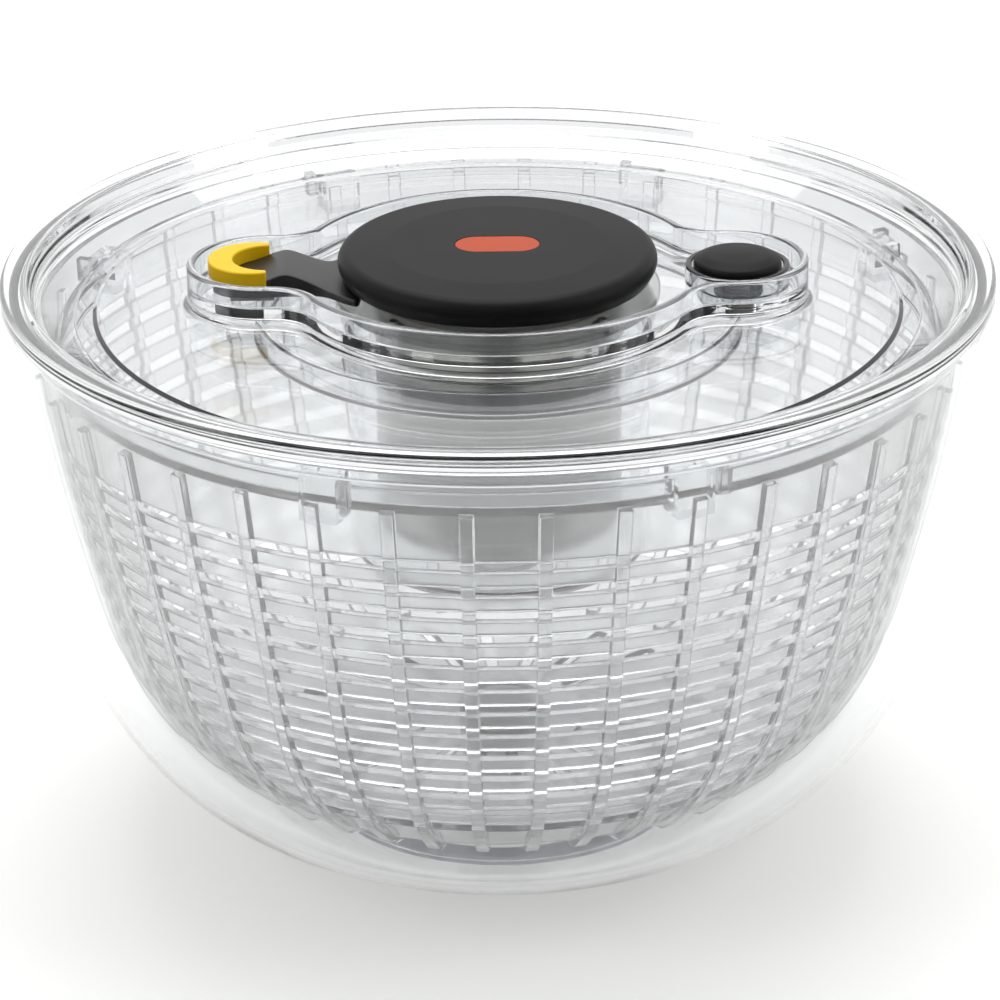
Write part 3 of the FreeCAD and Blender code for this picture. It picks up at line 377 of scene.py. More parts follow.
# Translucent rubber glows dimly and has a dull, fine grain of 0.8 mm.
tpe = surface("tpe_translucent_moulded", {
    "Base Color": linear(TPE_GREY), "Roughness": 0.42, "IOR": 1.49, "Transmission Weight": 0.55})
texture_skin(tpe, 0.8, 0.05, 0.3)
foot = turned("foot_ring_soft", softened([
    (FOOT_INNER + FOOT_GAP, 0, 0.8), (FOOT_OUTER - FOOT_GAP, 0, 0.8),
    (FOOT_OUTER - FOOT_GAP, FOOT_SEAT - 0.05), (FOOT_INNER + FOOT_GAP, FOOT_SEAT - 0.05)]), tpe)
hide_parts("foot_ring")
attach(foot, "bowl")

# ------------------------------------------------------------------ basket
# The basket is moulded in natural polypropylene, thin and milky. Thirteen rows of slots go all the way
# round its wall, and forty ribs outside the wall bridge them. Eight tabs inside the rim take the drive.

BASKET_FLOOR = 72
BASKET_LIFT = 24
BASKET_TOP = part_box("basket")[1].z / MM
BASKET_HEEL = (20, 45)
BASKET_SIDE = (90, 15.5)
BASKET_UPPER = 600
BASKET_WALL = 2
BASKET_TURN = math.radians(5.2)
BOSS_RADIUS = 12
SOCKET_RADIUS = 9.2
SOCKET_BOTTOM = 13
SOCKET_TOP = 27.8
SLOT_FIRST = 36
SLOT_HEIGHT = 3.1
SLOT_PITCH = 7.3
SLOT_ROWS = 13
RIB_COUNT = 40
RIB_WIDTH = 3.4
RIB_PROUD = 2
RIB_DROP = 8
RIB_MOST = math.radians(3.2)
BAY_STEPS = 5
DRAIN_INNER = 24
DRAIN_OUTER = 58
TAB_COUNT = 8
TAB_WIDTH = 3
TAB_INNER = 119.9
TAB_OUTER = 123.9
TAB_LOW = 140
TAB_HIGH = 147
TAB_TURN = math.radians(26.74)
POLYPROPYLENE = "#FBFCFC"

basket_wall = CurvedWall(BASKET_FLOOR, BASKET_LIFT, BASKET_HEEL, BASKET_SIDE, BASKET_UPPER)
rib_top = BASKET_TOP - RIB_DROP


def basket_rows():
    """The basket's stations from the boss out and up to the rim: a function of offset for each, and for each
    row between two stations whether it is floor, solid wall, slot, or wall above the ribs."""
    stations = [lambda offset, r=r: Vector((r, BASKET_LIFT - offset))
                for r in (BOSS_RADIUS - 1, 16, DRAIN_INNER, 34, 46, DRAIN_OUTER, 65)]
    kinds = ["floor", "floor", "drain", "drain", "drain", "floor", "floor"]
    heights = [basket_wall.at(0, turn).y for turn in
               [math.radians(90 - 7 * step) for step in range(5)]]
    marks = [(height, "wall") for height in heights if height < SLOT_FIRST - 1]
    for row in range(SLOT_ROWS):
        low = SLOT_FIRST + SLOT_PITCH * row
        marks.append((low, "slot"))
        marks.append((low + SLOT_HEIGHT, "wall"))
        if row < SLOT_ROWS - 1:
            marks.append((low + (SLOT_HEIGHT + SLOT_PITCH) / 2, "wall"))
    marks += [(rib_top - 5, "wall"), (rib_top, "band"), (rib_top + 4, "band"), (BASKET_TOP, None)]
    for height, kind in marks:
        arc, turn = basket_wall.at_height(height)
        stations.append(lambda offset, a=arc, t=turn: basket_wall.at(a, t, offset))
        kinds.append(kind)
    return stations, kinds[:-1]


def add_block(mesh, low, high, turn=0):
    """A block between two corners, turned about the upright axis."""
    corners = bmesh.ops.create_cube(mesh, size=1)["verts"]
    size = Matrix.Diagonal((*((b - a) * MM for a, b in zip(low, high)), 1))
    spot = Matrix.Translation([(a + b) / 2 * MM for a, b in zip(low, high)])
    bmesh.ops.transform(mesh, verts=corners, matrix=Matrix.Rotation(turn, 4, "Z") @ spot @ size)


def basket_mesh():
    """The slotted, ribbed wall and floor, found as the boundary between full and empty cells."""
    stations, kinds = basket_rows()
    columns = []
    for rib in range(RIB_COUNT):
        centre = BASKET_TURN + 2 * math.pi * rib / RIB_COUNT
        columns.append((centre, -1, 0))
        columns.append((centre, 1, 0))
        for step in range(1, BAY_STEPS):
            columns.append((centre, 1, step / BAY_STEPS))
    period = BAY_STEPS + 1
    mesh = bmesh.new()
    made = {}

    def vertex(station, column, layer):
        """The corner of a cell: layer 0 is the inner face, 1 the wall's face, 2 the ribs' face."""
        key = (station, column % len(columns), layer)
        if key in made:
            return made[key]
        base = stations[station](0)
        offset = (-BASKET_WALL, 0, RIB_PROUD)[layer]
        point = stations[station](offset)
        centre, side, along = columns[column % len(columns)]
        half = min(RIB_WIDTH / 2 / base.x, RIB_MOST)
        bay = 2 * math.pi / RIB_COUNT - 2 * half
        turn = centre + side * half + along * bay
        made[key] = mesh.verts.new(
            (point.x * math.cos(turn) * MM, point.x * math.sin(turn) * MM, point.y * MM))
        return made[key]

    def full(row, column, layer):
        if not 0 <= row < len(kinds) or layer not in (0, 1):
            return False
        in_rib = column % period == 0
        even_rib = column % (2 * period) == 0
        if layer == 0:
            if kinds[row] == "slot":
                return False
            return not (kinds[row] == "drain" and even_rib)
        return in_rib and kinds[row] in ("wall", "slot")

    for row in range(len(kinds)):
        for column in range(len(columns)):
            for layer in (0, 1):
                if not full(row, column, layer):
                    continue
                r, c, n = row, column, layer
                sides = (
                    ((row, column, layer - 1), [(r, c, n), (r, c + 1, n), (r + 1, c + 1, n), (r + 1, c, n)]),
                    ((row, column, layer + 1),
                     [(r, c, n + 1), (r + 1, c, n + 1), (r + 1, c + 1, n + 1), (r, c + 1, n + 1)]),
                    ((row - 1, column, layer), [(r, c, n), (r, c, n + 1), (r, c + 1, n + 1), (r, c + 1, n)]),
                    ((row + 1, column, layer),
                     [(r + 1, c, n), (r + 1, c + 1, n), (r + 1, c + 1, n + 1), (r + 1, c, n + 1)]),
                    ((row, column - 1, layer), [(r, c, n), (r + 1, c, n), (r + 1, c, n + 1), (r, c, n + 1)]),
                    ((row, column + 1, layer),
                     [(r, c + 1, n), (r, c + 1, n + 1), (r + 1, c + 1, n + 1), (r + 1, c + 1, n)]))
                for beside, corners in sides:
                    if not full(*beside):
                        mesh.faces.new([vertex(*corner) for corner in corners])
    boss = softened([
        (0, SOCKET_TOP), (SOCKET_RADIUS, SOCKET_TOP), (SOCKET_RADIUS, SOCKET_BOTTOM, 0.4),
        (BOSS_RADIUS, SOCKET_BOTTOM, 0.4), (BOSS_RADIUS, SOCKET_TOP + BASKET_WALL, 1.5),
        (0, SOCKET_TOP + BASKET_WALL)], 3)
    mesh.from_mesh(lathe_mesh("boss", boss, 80))
    for tab in range(TAB_COUNT):
        add_block(mesh, (TAB_INNER, -TAB_WIDTH / 2, TAB_LOW), (TAB_OUTER, TAB_WIDTH / 2, TAB_HIGH),
                  TAB_TURN + 2 * math.pi * tab / TAB_COUNT)
    return finished(mesh, "basket_slotted")


def edge_round(made, width, segments=3, angle=35):
    """Moulded edges: rounded a little wherever two faces meet past an angle."""
    rounded = made.modifiers.new("edges", "BEVEL")
    rounded.width = width * MM
    rounded.segments = segments
    rounded.limit_method = "ANGLE"
    rounded.angle_limit = math.radians(angle)
    return smooth(made, 50)


def vary_gloss(material, size, low, high, detail=2.0):
    """Patches of more and less gloss, between two roughnesses."""
    spread = add_node(material.node_tree, "ShaderNodeMapRange", {
        "Value": grain(material, size, detail), "To Min": low, "To Max": high})
    feed(material, "Roughness", spread.outputs[0])


# Thin natural polypropylene is nearly clear but blurs what is behind it. A 12 mm mottle varies how much it
# blurs, and slow waves of about 30 mm keep the skin from looking machined.
pp = surface("polypropylene_natural_moulded", {
    "Base Color": linear(POLYPROPYLENE), "Roughness": 0.12, "IOR": 1.42, "Transmission Weight": 0.88})
texture_skin(pp, 30, 0.5, 0.12, 1.0)
vary_gloss(pp, 12, 0.07, 0.14, 1.0)

basket = place("basket_slotted", basket_mesh(), pp)
edge_round(basket, 0.35, 2, 40)
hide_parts("basket")
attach(basket, "basket")

# ------------------------------------------------------------------ bearing cap
# A white acetal cap between the bowl's pin and the basket's socket.

ACETAL_WHITE = "#E9E8E2"
CAP_BORE = 6.1
CAP_RADIUS = 9.1
CAP_TOP = 27.4
CAP_BOTTOM = 15.4

# White acetal is waxy and a little uneven in gloss, in patches of 0.6 mm.
acetal = surface("acetal_white_moulded", {
    "Base Color": linear(ACETAL_WHITE), "Roughness": 0.35, "IOR": 1.48, "Subsurface Weight": 0.15,
    "Subsurface Scale": 0.002})
vary_gloss(acetal, 0.6, 0.28, 0.42)
cap = turned("bearing_cap", softened([
    (0, PIN_TOP + 0.4), (CAP_BORE, PIN_TOP + 0.4), (CAP_BORE, CAP_BOTTOM, 0.4),
    (CAP_RADIUS, CAP_BOTTOM, 0.4), (CAP_RADIUS, CAP_TOP, 0.8), (0, CAP_TOP)]), acetal, 96)
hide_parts("pivot_cap")
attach(cap, "pivot")

# ------------------------------------------------------------------ lid cover
# One clear SAN moulding: a flange over the bowl's rim, a skirt inside it, a cone down to a flat floor, and
# a raised island with a lobe at each side for the latch and the brake button.

LID_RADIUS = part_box("lid_cover")[1].x / MM
RIM_TOP = BOWL_TOP + 4.7
FLANGE_UNDER = BOWL_TOP + 0.3
LID_FLOOR = RIM_TOP - 10
LID_FLOOR_UNDER = LID_FLOOR - 2.4
ISLAND_TOP = LID_FLOOR + 11.3
PLATEAU = LID_FLOOR + 4.4
PLATEAU_UNDER = PLATEAU - 2.4
SKIRT_OUTER = bowl_wall.at(*bowl_wall.at_height(BOWL_TOP), -BOWL_WALL).x - 0.8
SKIRT_INNER = SKIRT_OUTER - 2.2
SKIRT_BOTTOM = BOWL_TOP - 5.8
WALL_TOP = SKIRT_INNER + 0.9
SHOULDER = WALL_TOP - 1.8
SHOULDER_Z = RIM_TOP - 5
CONE = SHOULDER - 10.6
STEP = CONE - 5
ISLAND_RADIUS = 57
ISLAND_WALL = 2.3
LOBE_RADIUS = 21
LOBE_PLACE = 63
NECK_RADIUS = 12
TUBE_BORE = 30.5
BRAKE_PLACE = 64.8
LATCH_PLACE = 66


def island_loop(inset):
    """The island's outline, drawn in by an inset: lobe ends, hollow necks and the round middle."""
    reach = ISLAND_RADIUS + NECK_RADIUS
    neck_y = LOBE_RADIUS + NECK_RADIUS
    neck_x = math.sqrt(reach * reach - neck_y * neck_y)
    lean = math.degrees(math.atan2(neck_y, neck_x))
    neck = NECK_RADIUS + inset
    lobe = LOBE_RADIUS - inset
    middle = ISLAND_RADIUS - inset
    arcs = (
        (LOBE_PLACE, 0, lobe, -90, 90, 40), (neck_x, neck_y, neck, 270, 180 + lean, 16),
        (0, 0, middle, lean, 180 - lean, 72), (-neck_x, neck_y, neck, 360 - lean, 270, 16),
        (-LOBE_PLACE, 0, lobe, 90, 270, 40), (-neck_x, -neck_y, neck, 90, lean, 16),
        (0, 0, middle, 180 + lean, 360 - lean, 72), (neck_x, -neck_y, neck, 180 - lean, 90, 16))
    points = []
    for x, y, radius, start, end, count in arcs:
        for step in range(count):
            turn = math.radians(start + (end - start) * step / count)
            points.append(Vector((x + radius * math.cos(turn), y + radius * math.sin(turn))))
    return points


def join_rings(mesh, ring, other):
    """Four-sided faces between two rings that have as many points."""
    for index, point in enumerate(ring):
        after = (index + 1) % len(ring)
        mesh.faces.new((point, ring[after], other[after], other[index]))


def lid_mesh():
    """The lid as one closed skin: loops about the axis, from the middle bore out over the top and back.
    A loop just past each rounded corner keeps the flat floor's shading flat."""
    base = island_loop(0)
    headings = [point.normalized() for point in base]
    inner = softened([
        (-ISLAND_WALL - 3, PLATEAU), (-ISLAND_WALL, PLATEAU, 1.2), (-ISLAND_WALL, ISLAND_TOP, 1.1),
        (0, ISLAND_TOP, 1.1), (0, LID_FLOOR, 1.6), (2.4, LID_FLOOR), (4, LID_FLOOR), (4, LID_FLOOR - 9),
        (-ISLAND_WALL - 3, LID_FLOOR - 9)])[:-2]
    outer = softened([
        (STEP - 4, LID_FLOOR), (STEP - 1.2, LID_FLOOR, 0.5), (STEP, LID_FLOOR - 0.6, 0.5),
        (CONE, LID_FLOOR, 1.5), (SHOULDER, SHOULDER_Z, 1.5), (WALL_TOP, RIM_TOP, 1.2),
        (LID_RADIUS, RIM_TOP, 1.7), (LID_RADIUS, FLANGE_UNDER, 0.5), (SKIRT_OUTER, FLANGE_UNDER, 0.4),
        (SKIRT_OUTER, SKIRT_BOTTOM, 0.7), (SKIRT_INNER, SKIRT_BOTTOM, 0.7),
        (SKIRT_INNER, SHOULDER_Z - 2.4, 0.8), (SKIRT_INNER - 2.2, SHOULDER_Z - 2.4, 0.8),
        (CONE, LID_FLOOR_UNDER, 1.5), (CONE - 3, LID_FLOOR_UNDER)])
    under = softened([
        (4, LID_FLOOR_UNDER), (2, LID_FLOOR_UNDER), (-ISLAND_WALL, LID_FLOOR_UNDER, 0.6),
        (-ISLAND_WALL, PLATEAU_UNDER, 0.8),
        (-ISLAND_WALL - 3, PLATEAU_UNDER), (-ISLAND_WALL - 3, 0), (4, 0)])[:-2]
    loops = [([heading * TUBE_BORE for heading in headings], PLATEAU)]
    loops += [(island_loop(-point.x), point.y) for point in inner]
    loops += [([heading * point.x for heading in headings], point.y) for point in outer]
    loops += [(island_loop(-point.x), point.y) for point in under]
    loops += [([heading * TUBE_BORE for heading in headings], PLATEAU_UNDER)]
    mesh = bmesh.new()
    rings = [[mesh.verts.new((p.x * MM, p.y * MM, z * MM)) for p in points] for points, z in loops]
    for index, ring in enumerate(rings):
        join_rings(mesh, ring, rings[(index + 1) % len(rings)])
    return finished(mesh, "lid_shell")


def combine(made, tool, operation="DIFFERENCE"):
    """Cuts one mesh out of another, or adds it with UNION. The tool is then thrown away."""
    change = made.modifiers.new("change", "BOOLEAN")
    change.operation = operation
    change.solver = "EXACT"
    change.object = tool
    bpy.context.view_layer.update()
    shape = bpy.data.meshes.new_from_object(made.evaluated_get(bpy.context.evaluated_depsgraph_get()))
    made.modifiers.remove(change)
    made.data = shape
    bpy.data.objects.remove(tool)


lid = place("lid_shell", lid_mesh(), san)
STEM_HOLE = 3.8
SLOT_LENGTH = 9.6
SLOT_WIDTH = 6.6
CUT_PAST = 2
cut_low = PLATEAU_UNDER - CUT_PAST
cut_high = PLATEAU + CUT_PAST
combine(lid, place("stem_tool", lathe_mesh("stem_tool", [
    (0, cut_low), (STEM_HOLE, cut_low), (STEM_HOLE, cut_high), (0, cut_high)], 64, (BRAKE_PLACE, 0)), san))
slot_right = SLOT_WIDTH / 2 - LATCH_PLACE
slot_tool = bmesh.new()
add_block(slot_tool, (slot_right - SLOT_LENGTH, -SLOT_WIDTH / 2, cut_low),
          (slot_right, SLOT_WIDTH / 2, cut_high))
combine(lid, place("slot_tool", finished(slot_tool, "slot_tool"), san))
smooth(lid)
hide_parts("lid_cover")
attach(lid, "lid")

# The guide ring around the brake button stands on the plateau, and a boss hangs under it.
GUIDE_INNER = 12.4
GUIDE_OUTER = 14.2
GUIDE_TOP = PLATEAU + 5
BOSS_OUTER = 13
BOSS_INNER = 11
BOSS_BOTTOM = PLATEAU_UNDER - 3.6
guide = turned("brake_guide_ring", softened([
    (GUIDE_INNER, PLATEAU), (GUIDE_OUTER, PLATEAU), (GUIDE_OUTER, GUIDE_TOP, 0.7),
    (GUIDE_INNER, GUIDE_TOP, 0.7)]), san, 96, (BRAKE_PLACE, 0))
boss = turned("brake_boss", softened([
    (BOSS_INNER, PLATEAU_UNDER), (BOSS_OUTER, PLATEAU_UNDER), (BOSS_OUTER, BOSS_BOTTOM, 0.6),
    (BOSS_INNER, BOSS_BOTTOM, 0.6)]), san, 96, (BRAKE_PLACE, 0))
for piece in (guide, boss):
    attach(piece, "lid")

# ------------------------------------------------------------------ drive disc
# A clear SAN disc under the lid: a brake track, an upturned rim with eight driving lugs, and a deep cup in
# the middle that takes the drive housing.

DISC_TOP = 140
DISC_UNDER = 138
CUP_OUTER = 41
CUP_INNER = 39
CUP_BOTTOM = 78
CUP_FLOOR = 80
HUB_BORE = 3.1
TRACK = 64.7
TRACK_TOP = 146.8
DISC_RADIUS = TAB_INNER - 1
DISC_RIM_TOP = DISC_TOP + 4.5
LUG_COUNT = 8
LUG_TURN = math.radians(23.4)
LUG_WIDTH = 10
LUG_LOW = 134.6
LUG_HIGH = 146.8
LUG_DEPTH = 6
LUG_REACH = 2.2

disc = place("drive_disc", lathe_mesh("drive_disc", softened([
    (HUB_BORE, CUP_BOTTOM), (CUP_OUTER, CUP_BOTTOM, 3), (CUP_OUTER, DISC_UNDER, 1.5),
    (DISC_RADIUS, DISC_UNDER, 0.8), (DISC_RADIUS, DISC_RIM_TOP, 0.7),
    (DISC_RADIUS - 1.8, DISC_RIM_TOP, 0.7), (DISC_RADIUS - 1.8, DISC_TOP, 0.8),
    (TRACK + 1.1, DISC_TOP, 0.8), (TRACK + 1.1, TRACK_TOP, 0.7), (TRACK - 1.1, TRACK_TOP, 0.7),
    (TRACK - 1.1, DISC_TOP, 0.8), (CUP_INNER, DISC_TOP, 2), (CUP_INNER, CUP_FLOOR, 2),
    (HUB_BORE, CUP_FLOOR)])), san)
lugs = bmesh.new()
for lug in range(LUG_COUNT):
    add_block(lugs, (DISC_RADIUS - LUG_DEPTH, -LUG_WIDTH / 2, LUG_LOW),
              (DISC_RADIUS + LUG_REACH, LUG_WIDTH / 2, LUG_HIGH), LUG_TURN + 2 * math.pi * lug / LUG_COUNT)
combine(disc, place("lugs", finished(lugs, "lugs"), san), "UNION")
smooth(disc)
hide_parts("turntable")
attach(disc, "turntable")

# The hub cap snaps on under the cup and hides the rod's washer and screw.
HUB_CAP_RADIUS = 12
HUB_CAP_BOTTOM = 72
hub_cap = turned("hub_cap_snap", softened([
    (0, HUB_CAP_BOTTOM), (HUB_CAP_RADIUS, HUB_CAP_BOTTOM, 1.2), (HUB_CAP_RADIUS, CUP_BOTTOM),
    (HUB_CAP_RADIUS - 1.4, CUP_BOTTOM), (HUB_CAP_RADIUS - 1.4, HUB_CAP_BOTTOM + 1.4, 0.6),
    (0, HUB_CAP_BOTTOM + 1.4)]), pp, 96)
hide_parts("hub_cap")
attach(hub_cap, "turntable")

# ------------------------------------------------------------------ drive housing and plunger tube
# The housing is a pot of white, half-clear polypropylene, screwed up under the lid's plateau. The plunger
# tube slides in it and carries the nut.

HOUSING_OUTER = 33.5
HOUSING_INNER = 31.7
HOUSING_BOTTOM = 88
HOUSING_FLOOR = 91
HOUSING_FLANGE = 44
FLANGE_LOW = PLATEAU_UNDER - 2.4
BUSH_RADIUS = 8
TUBE_OUTER = 30
TUBE_INNER = 28.4
CORE_BOTTOM = PLATEAU + 0.9
TUBE_BOTTOM = CORE_BOTTOM - 58
WHITE_HALF_CLEAR = "#FDFCF9"

# Half-clear white polypropylene blurs what is behind it to soft shadows. Its skin has slow 12 mm waves.
milky = surface("polypropylene_white_moulded", {
    "Base Color": linear(WHITE_HALF_CLEAR), "Roughness": 0.22, "IOR": 1.49, "Transmission Weight": 0.94})
texture_skin(milky, 12, 0.4, 0.2)

housing = turned("drive_housing_pot", softened([
    (BUSH_RADIUS, HOUSING_BOTTOM), (HOUSING_OUTER, HOUSING_BOTTOM, 1.5),
    (HOUSING_OUTER, FLANGE_LOW, 0.8), (HOUSING_FLANGE, FLANGE_LOW, 0.5),
    (HOUSING_FLANGE, PLATEAU_UNDER - 0.05), (HOUSING_INNER, PLATEAU_UNDER - 0.05),
    (HOUSING_INNER, HOUSING_FLOOR, 1.2), (BUSH_RADIUS, HOUSING_FLOOR)]), milky)
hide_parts("drive_housing")
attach(housing, "lid")

tube = turned("plunger_tube_sliding", softened([
    (8, CORE_BOTTOM - 1.6), (TUBE_INNER, CORE_BOTTOM - 1.6, 0.5), (TUBE_INNER, TUBE_BOTTOM, 0.4),
    (TUBE_OUTER, TUBE_BOTTOM, 0.6), (TUBE_OUTER, CORE_BOTTOM - 0.02), (8, CORE_BOTTOM - 0.02)]), milky)
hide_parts("plunger_tube")
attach(tube, "plunger")

# ------------------------------------------------------------------ knob
# A broad flat knob: a soft-touch rubber skin moulded over a plastic shell, with a plain coral pill let into
# its top, on a grey-beige carrier.

KNOB_RADIUS = 43.3
KNOB_BOTTOM = PLATEAU + 2.6
KNOB_TOP = KNOB_BOTTOM + 8.5
KNOB_INSIDE = KNOB_TOP - 2.4
CORE_RADIUS = 35
INLAY_HALF_LENGTH = 11.5
INLAY_HALF_WIDTH = 6
INLAY_DEPTH = 1.2
INLAY_GAP = 0.08
SOFT_BLACK = "#121111"
SOFT_BLACK_WORN = "#171616"
CORAL = "#BE4A24"
CORAL_DARK = "#B0421F"
BEIGE_GREY = "#B9B5AB"


def vary_tone(material, size, detail, dark, light, start=0.0, end=1.0):
    """Patches of two close colours, and where in the noise each is full."""
    ramp = add_node(material.node_tree, "ShaderNodeValToRGB", {"Fac": grain(material, size, detail)})
    for stop, position, colour in zip(ramp.color_ramp.elements, (start, end), (dark, light)):
        stop.position = position
        stop.color = linear(colour)
    feed(material, "Base Color", ramp.outputs[0])


# Soft-touch rubber is dark and matt, with a fine leathery grain of about 0.4 mm that spreads highlights
# into a wide soft sheen, and a little paler where it is handled.
soft_touch = surface("soft_touch_rubber_moulded", {
    "Base Color": linear(SOFT_BLACK), "Roughness": 0.48, "IOR": 1.5, "Specular IOR Level": 0.14,
    "Sheen Weight": 0.03, "Sheen Roughness": 0.4})
texture_skin(soft_touch, 0.4, 0.06, 0.35, 3.0)
vary_tone(soft_touch, 18, 4.0, SOFT_BLACK, SOFT_BLACK_WORN, 0.35, 0.7)


def pill_mesh(name, half_length, half_width, low, high, steps=28):
    """A flat pill with half-round ends, between two heights."""
    reach = half_length - half_width
    points = []
    for side, start in ((1, -90), (-1, 90)):
        for step in range(steps + 1):
            turn = math.radians(start + 180 * step / steps)
            points.append((side * reach + half_width * math.cos(turn), half_width * math.sin(turn)))
    mesh = bmesh.new()
    bottom = [mesh.verts.new((x * MM, y * MM, low * MM)) for x, y in points]
    top = [mesh.verts.new((x * MM, y * MM, high * MM)) for x, y in points]
    mesh.faces.new(list(reversed(bottom)))
    mesh.faces.new(top)
    join_rings(mesh, bottom, top)
    return finished(mesh, name)


knob = place("knob_soft_skin", lathe_mesh("knob_soft_skin", softened([
    (0, KNOB_INSIDE), (CORE_RADIUS, KNOB_INSIDE), (CORE_RADIUS, KNOB_BOTTOM, 0.5),
    (KNOB_RADIUS - 1.9, KNOB_BOTTOM, 1.6), (KNOB_RADIUS, KNOB_BOTTOM + 3.6, 4),
    (KNOB_RADIUS - 0.5, KNOB_TOP - 0.9, 3.4), (30, KNOB_TOP - 0.12, 20), (14, KNOB_TOP), (0, KNOB_TOP)],
    8), 256), soft_touch)
combine(knob, place("pill_tool", pill_mesh(
    "pill_tool", INLAY_HALF_LENGTH, INLAY_HALF_WIDTH, KNOB_TOP - INLAY_DEPTH, KNOB_TOP + 2), soft_touch))
smooth(knob)
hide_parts("knob_grip")
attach(knob, "plunger")

# The pill is a smooth coral plastic, mottled a little by the mould's flow, with no mark on it.
coral = surface("abs_coral_moulded", {
    "Base Color": linear(CORAL), "Roughness": 0.4, "IOR": 1.4, "Specular IOR Level": 0.25})
vary_tone(coral, 6, 3.0, CORAL_DARK, CORAL)
inlay = place("knob_inlay_pill", pill_mesh(
    "knob_inlay_pill", INLAY_HALF_LENGTH - INLAY_GAP, INLAY_HALF_WIDTH - INLAY_GAP,
    KNOB_TOP - INLAY_DEPTH + 0.02, KNOB_TOP - 0.03), coral)
edge_round(inlay, 0.25)
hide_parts("knob_inlay")
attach(inlay, "plunger")

# The carrier under the knob is a plain grey-beige plastic with a fine spark-eroded grain of about 0.5 mm.
carrier = surface("abs_beige_moulded", {"Base Color": linear(BEIGE_GREY), "Roughness": 0.45, "IOR": 1.53})
texture_skin(carrier, 0.5, 0.05, 0.3)
core = turned("knob_carrier", softened([
    (0, CORE_BOTTOM), (CORE_RADIUS - 0.02, CORE_BOTTOM, 1), (CORE_RADIUS - 0.02, KNOB_INSIDE - 0.02),
    (0, KNOB_INSIDE - 0.02)]), carrier)
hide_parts("knob_core")
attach(core, "plunger")

# ------------------------------------------------------------------ latch
# A black slide lies in the left lobe. Its hollowed pad carries a yellow thumb grip, a ridge stands beside
# it, and its arm runs under the knob to the nose that holds the knob down.

LATCH_LOW = PLATEAU + 0.3
LATCH_ARM_TOP = LATCH_LOW + 1.9
PAD_TOP = LATCH_LOW + 3.2
GRIP_RADIUS = 12.2
GRIP_INNER = 9.5
GRIP_OPEN = 4
GRIP_TOP = PAD_TOP + 4.4
STEM_HALF = 3
CLIP_TOP = PLATEAU_UNDER - 0.3
YELLOW = "#F4CA0C"
YELLOW_DEEP = "#ECBE08"
SATIN_BLACK = "#191818"

# (along, half width, low, high) of the slide, from its pad's outer end to its nose.
SLIDE = (
    (-76.9, 4.5, LATCH_LOW, LATCH_LOW + 1.4), (-76.0, 6.5, LATCH_LOW, PAD_TOP - 0.6),
    (-74.0, 9.0, LATCH_LOW, PAD_TOP - 0.1), (-70.5, 10.6, LATCH_LOW, PAD_TOP - 0.1),
    (-66.0, 11.1, LATCH_LOW, PAD_TOP + 0.2), (-62.5, 10.8, LATCH_LOW, PAD_TOP + 1.3),
    (-59.5, 10.3, LATCH_LOW, PAD_TOP + 2.6), (-57.3, 10.0, LATCH_LOW, PAD_TOP + 3.2),
    (-55.0, 9.9, LATCH_LOW, PAD_TOP + 2.7), (-51.0, 10.0, LATCH_LOW, PAD_TOP + 1.0),
    (-47.5, 10.6, LATCH_LOW, PAD_TOP - 0.5), (-45.0, 12.0, LATCH_LOW, LATCH_ARM_TOP),
    (-42.0, 15.5, LATCH_LOW, LATCH_ARM_TOP), (-38.5, 18.5, LATCH_LOW, LATCH_ARM_TOP),
    (-36.2, 19.5, LATCH_LOW, LATCH_ARM_TOP))
SLIDE_CORNER = 0.7


def join_capped(mesh, rings):
    """One closed skin along a row of rings, with a flat cap at each end."""
    for ring, other in zip(rings, rings[1:]):
        join_rings(mesh, ring, other)
    mesh.faces.new(rings[0])
    mesh.faces.new(list(reversed(rings[-1])))


def slide_mesh():
    """Rounded sections along the slide, each a ring, with a cap at each end."""
    mesh = bmesh.new()
    rings = []
    for along, half, low, high in SLIDE:
        section = softened([
            (-half, low, 0.3), (half, low, 0.3), (half, high, SLIDE_CORNER), (half * 0.45, high + 0.12),
            (-half * 0.45, high + 0.12), (-half, high, SLIDE_CORNER)], 3)
        rings.append([mesh.verts.new((along * MM, p.x * MM, p.y * MM)) for p in section])
    join_capped(mesh, rings)
    return finished(mesh, "latch_slide")


# Satin black ABS: darker and smoother than the knob, with a spark-eroded grain of about 0.3 mm.
satin = surface("abs_black_spark_eroded", {
    "Base Color": linear(SATIN_BLACK), "Roughness": 0.36, "IOR": 1.53})
texture_skin(satin, 0.3, 0.04, 0.3)

slide = place("latch_slide", slide_mesh(), satin)
rounding = slide.modifiers.new("rounding", "SUBSURF")
rounding.levels = 2
rounding.render_levels = 2
slide.data.shade_smooth()
stem_block = bmesh.new()
add_block(stem_block, (-LATCH_PLACE - STEM_HALF, -STEM_HALF, CLIP_TOP - 1.2),
          (-LATCH_PLACE + STEM_HALF, STEM_HALF, LATCH_LOW + 0.4))
stem = place("latch_stem", finished(stem_block, "latch_stem"), satin)
edge_round(stem, 0.3)
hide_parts("latch_arm")
for piece in (slide, stem):
    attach(piece, "latch")


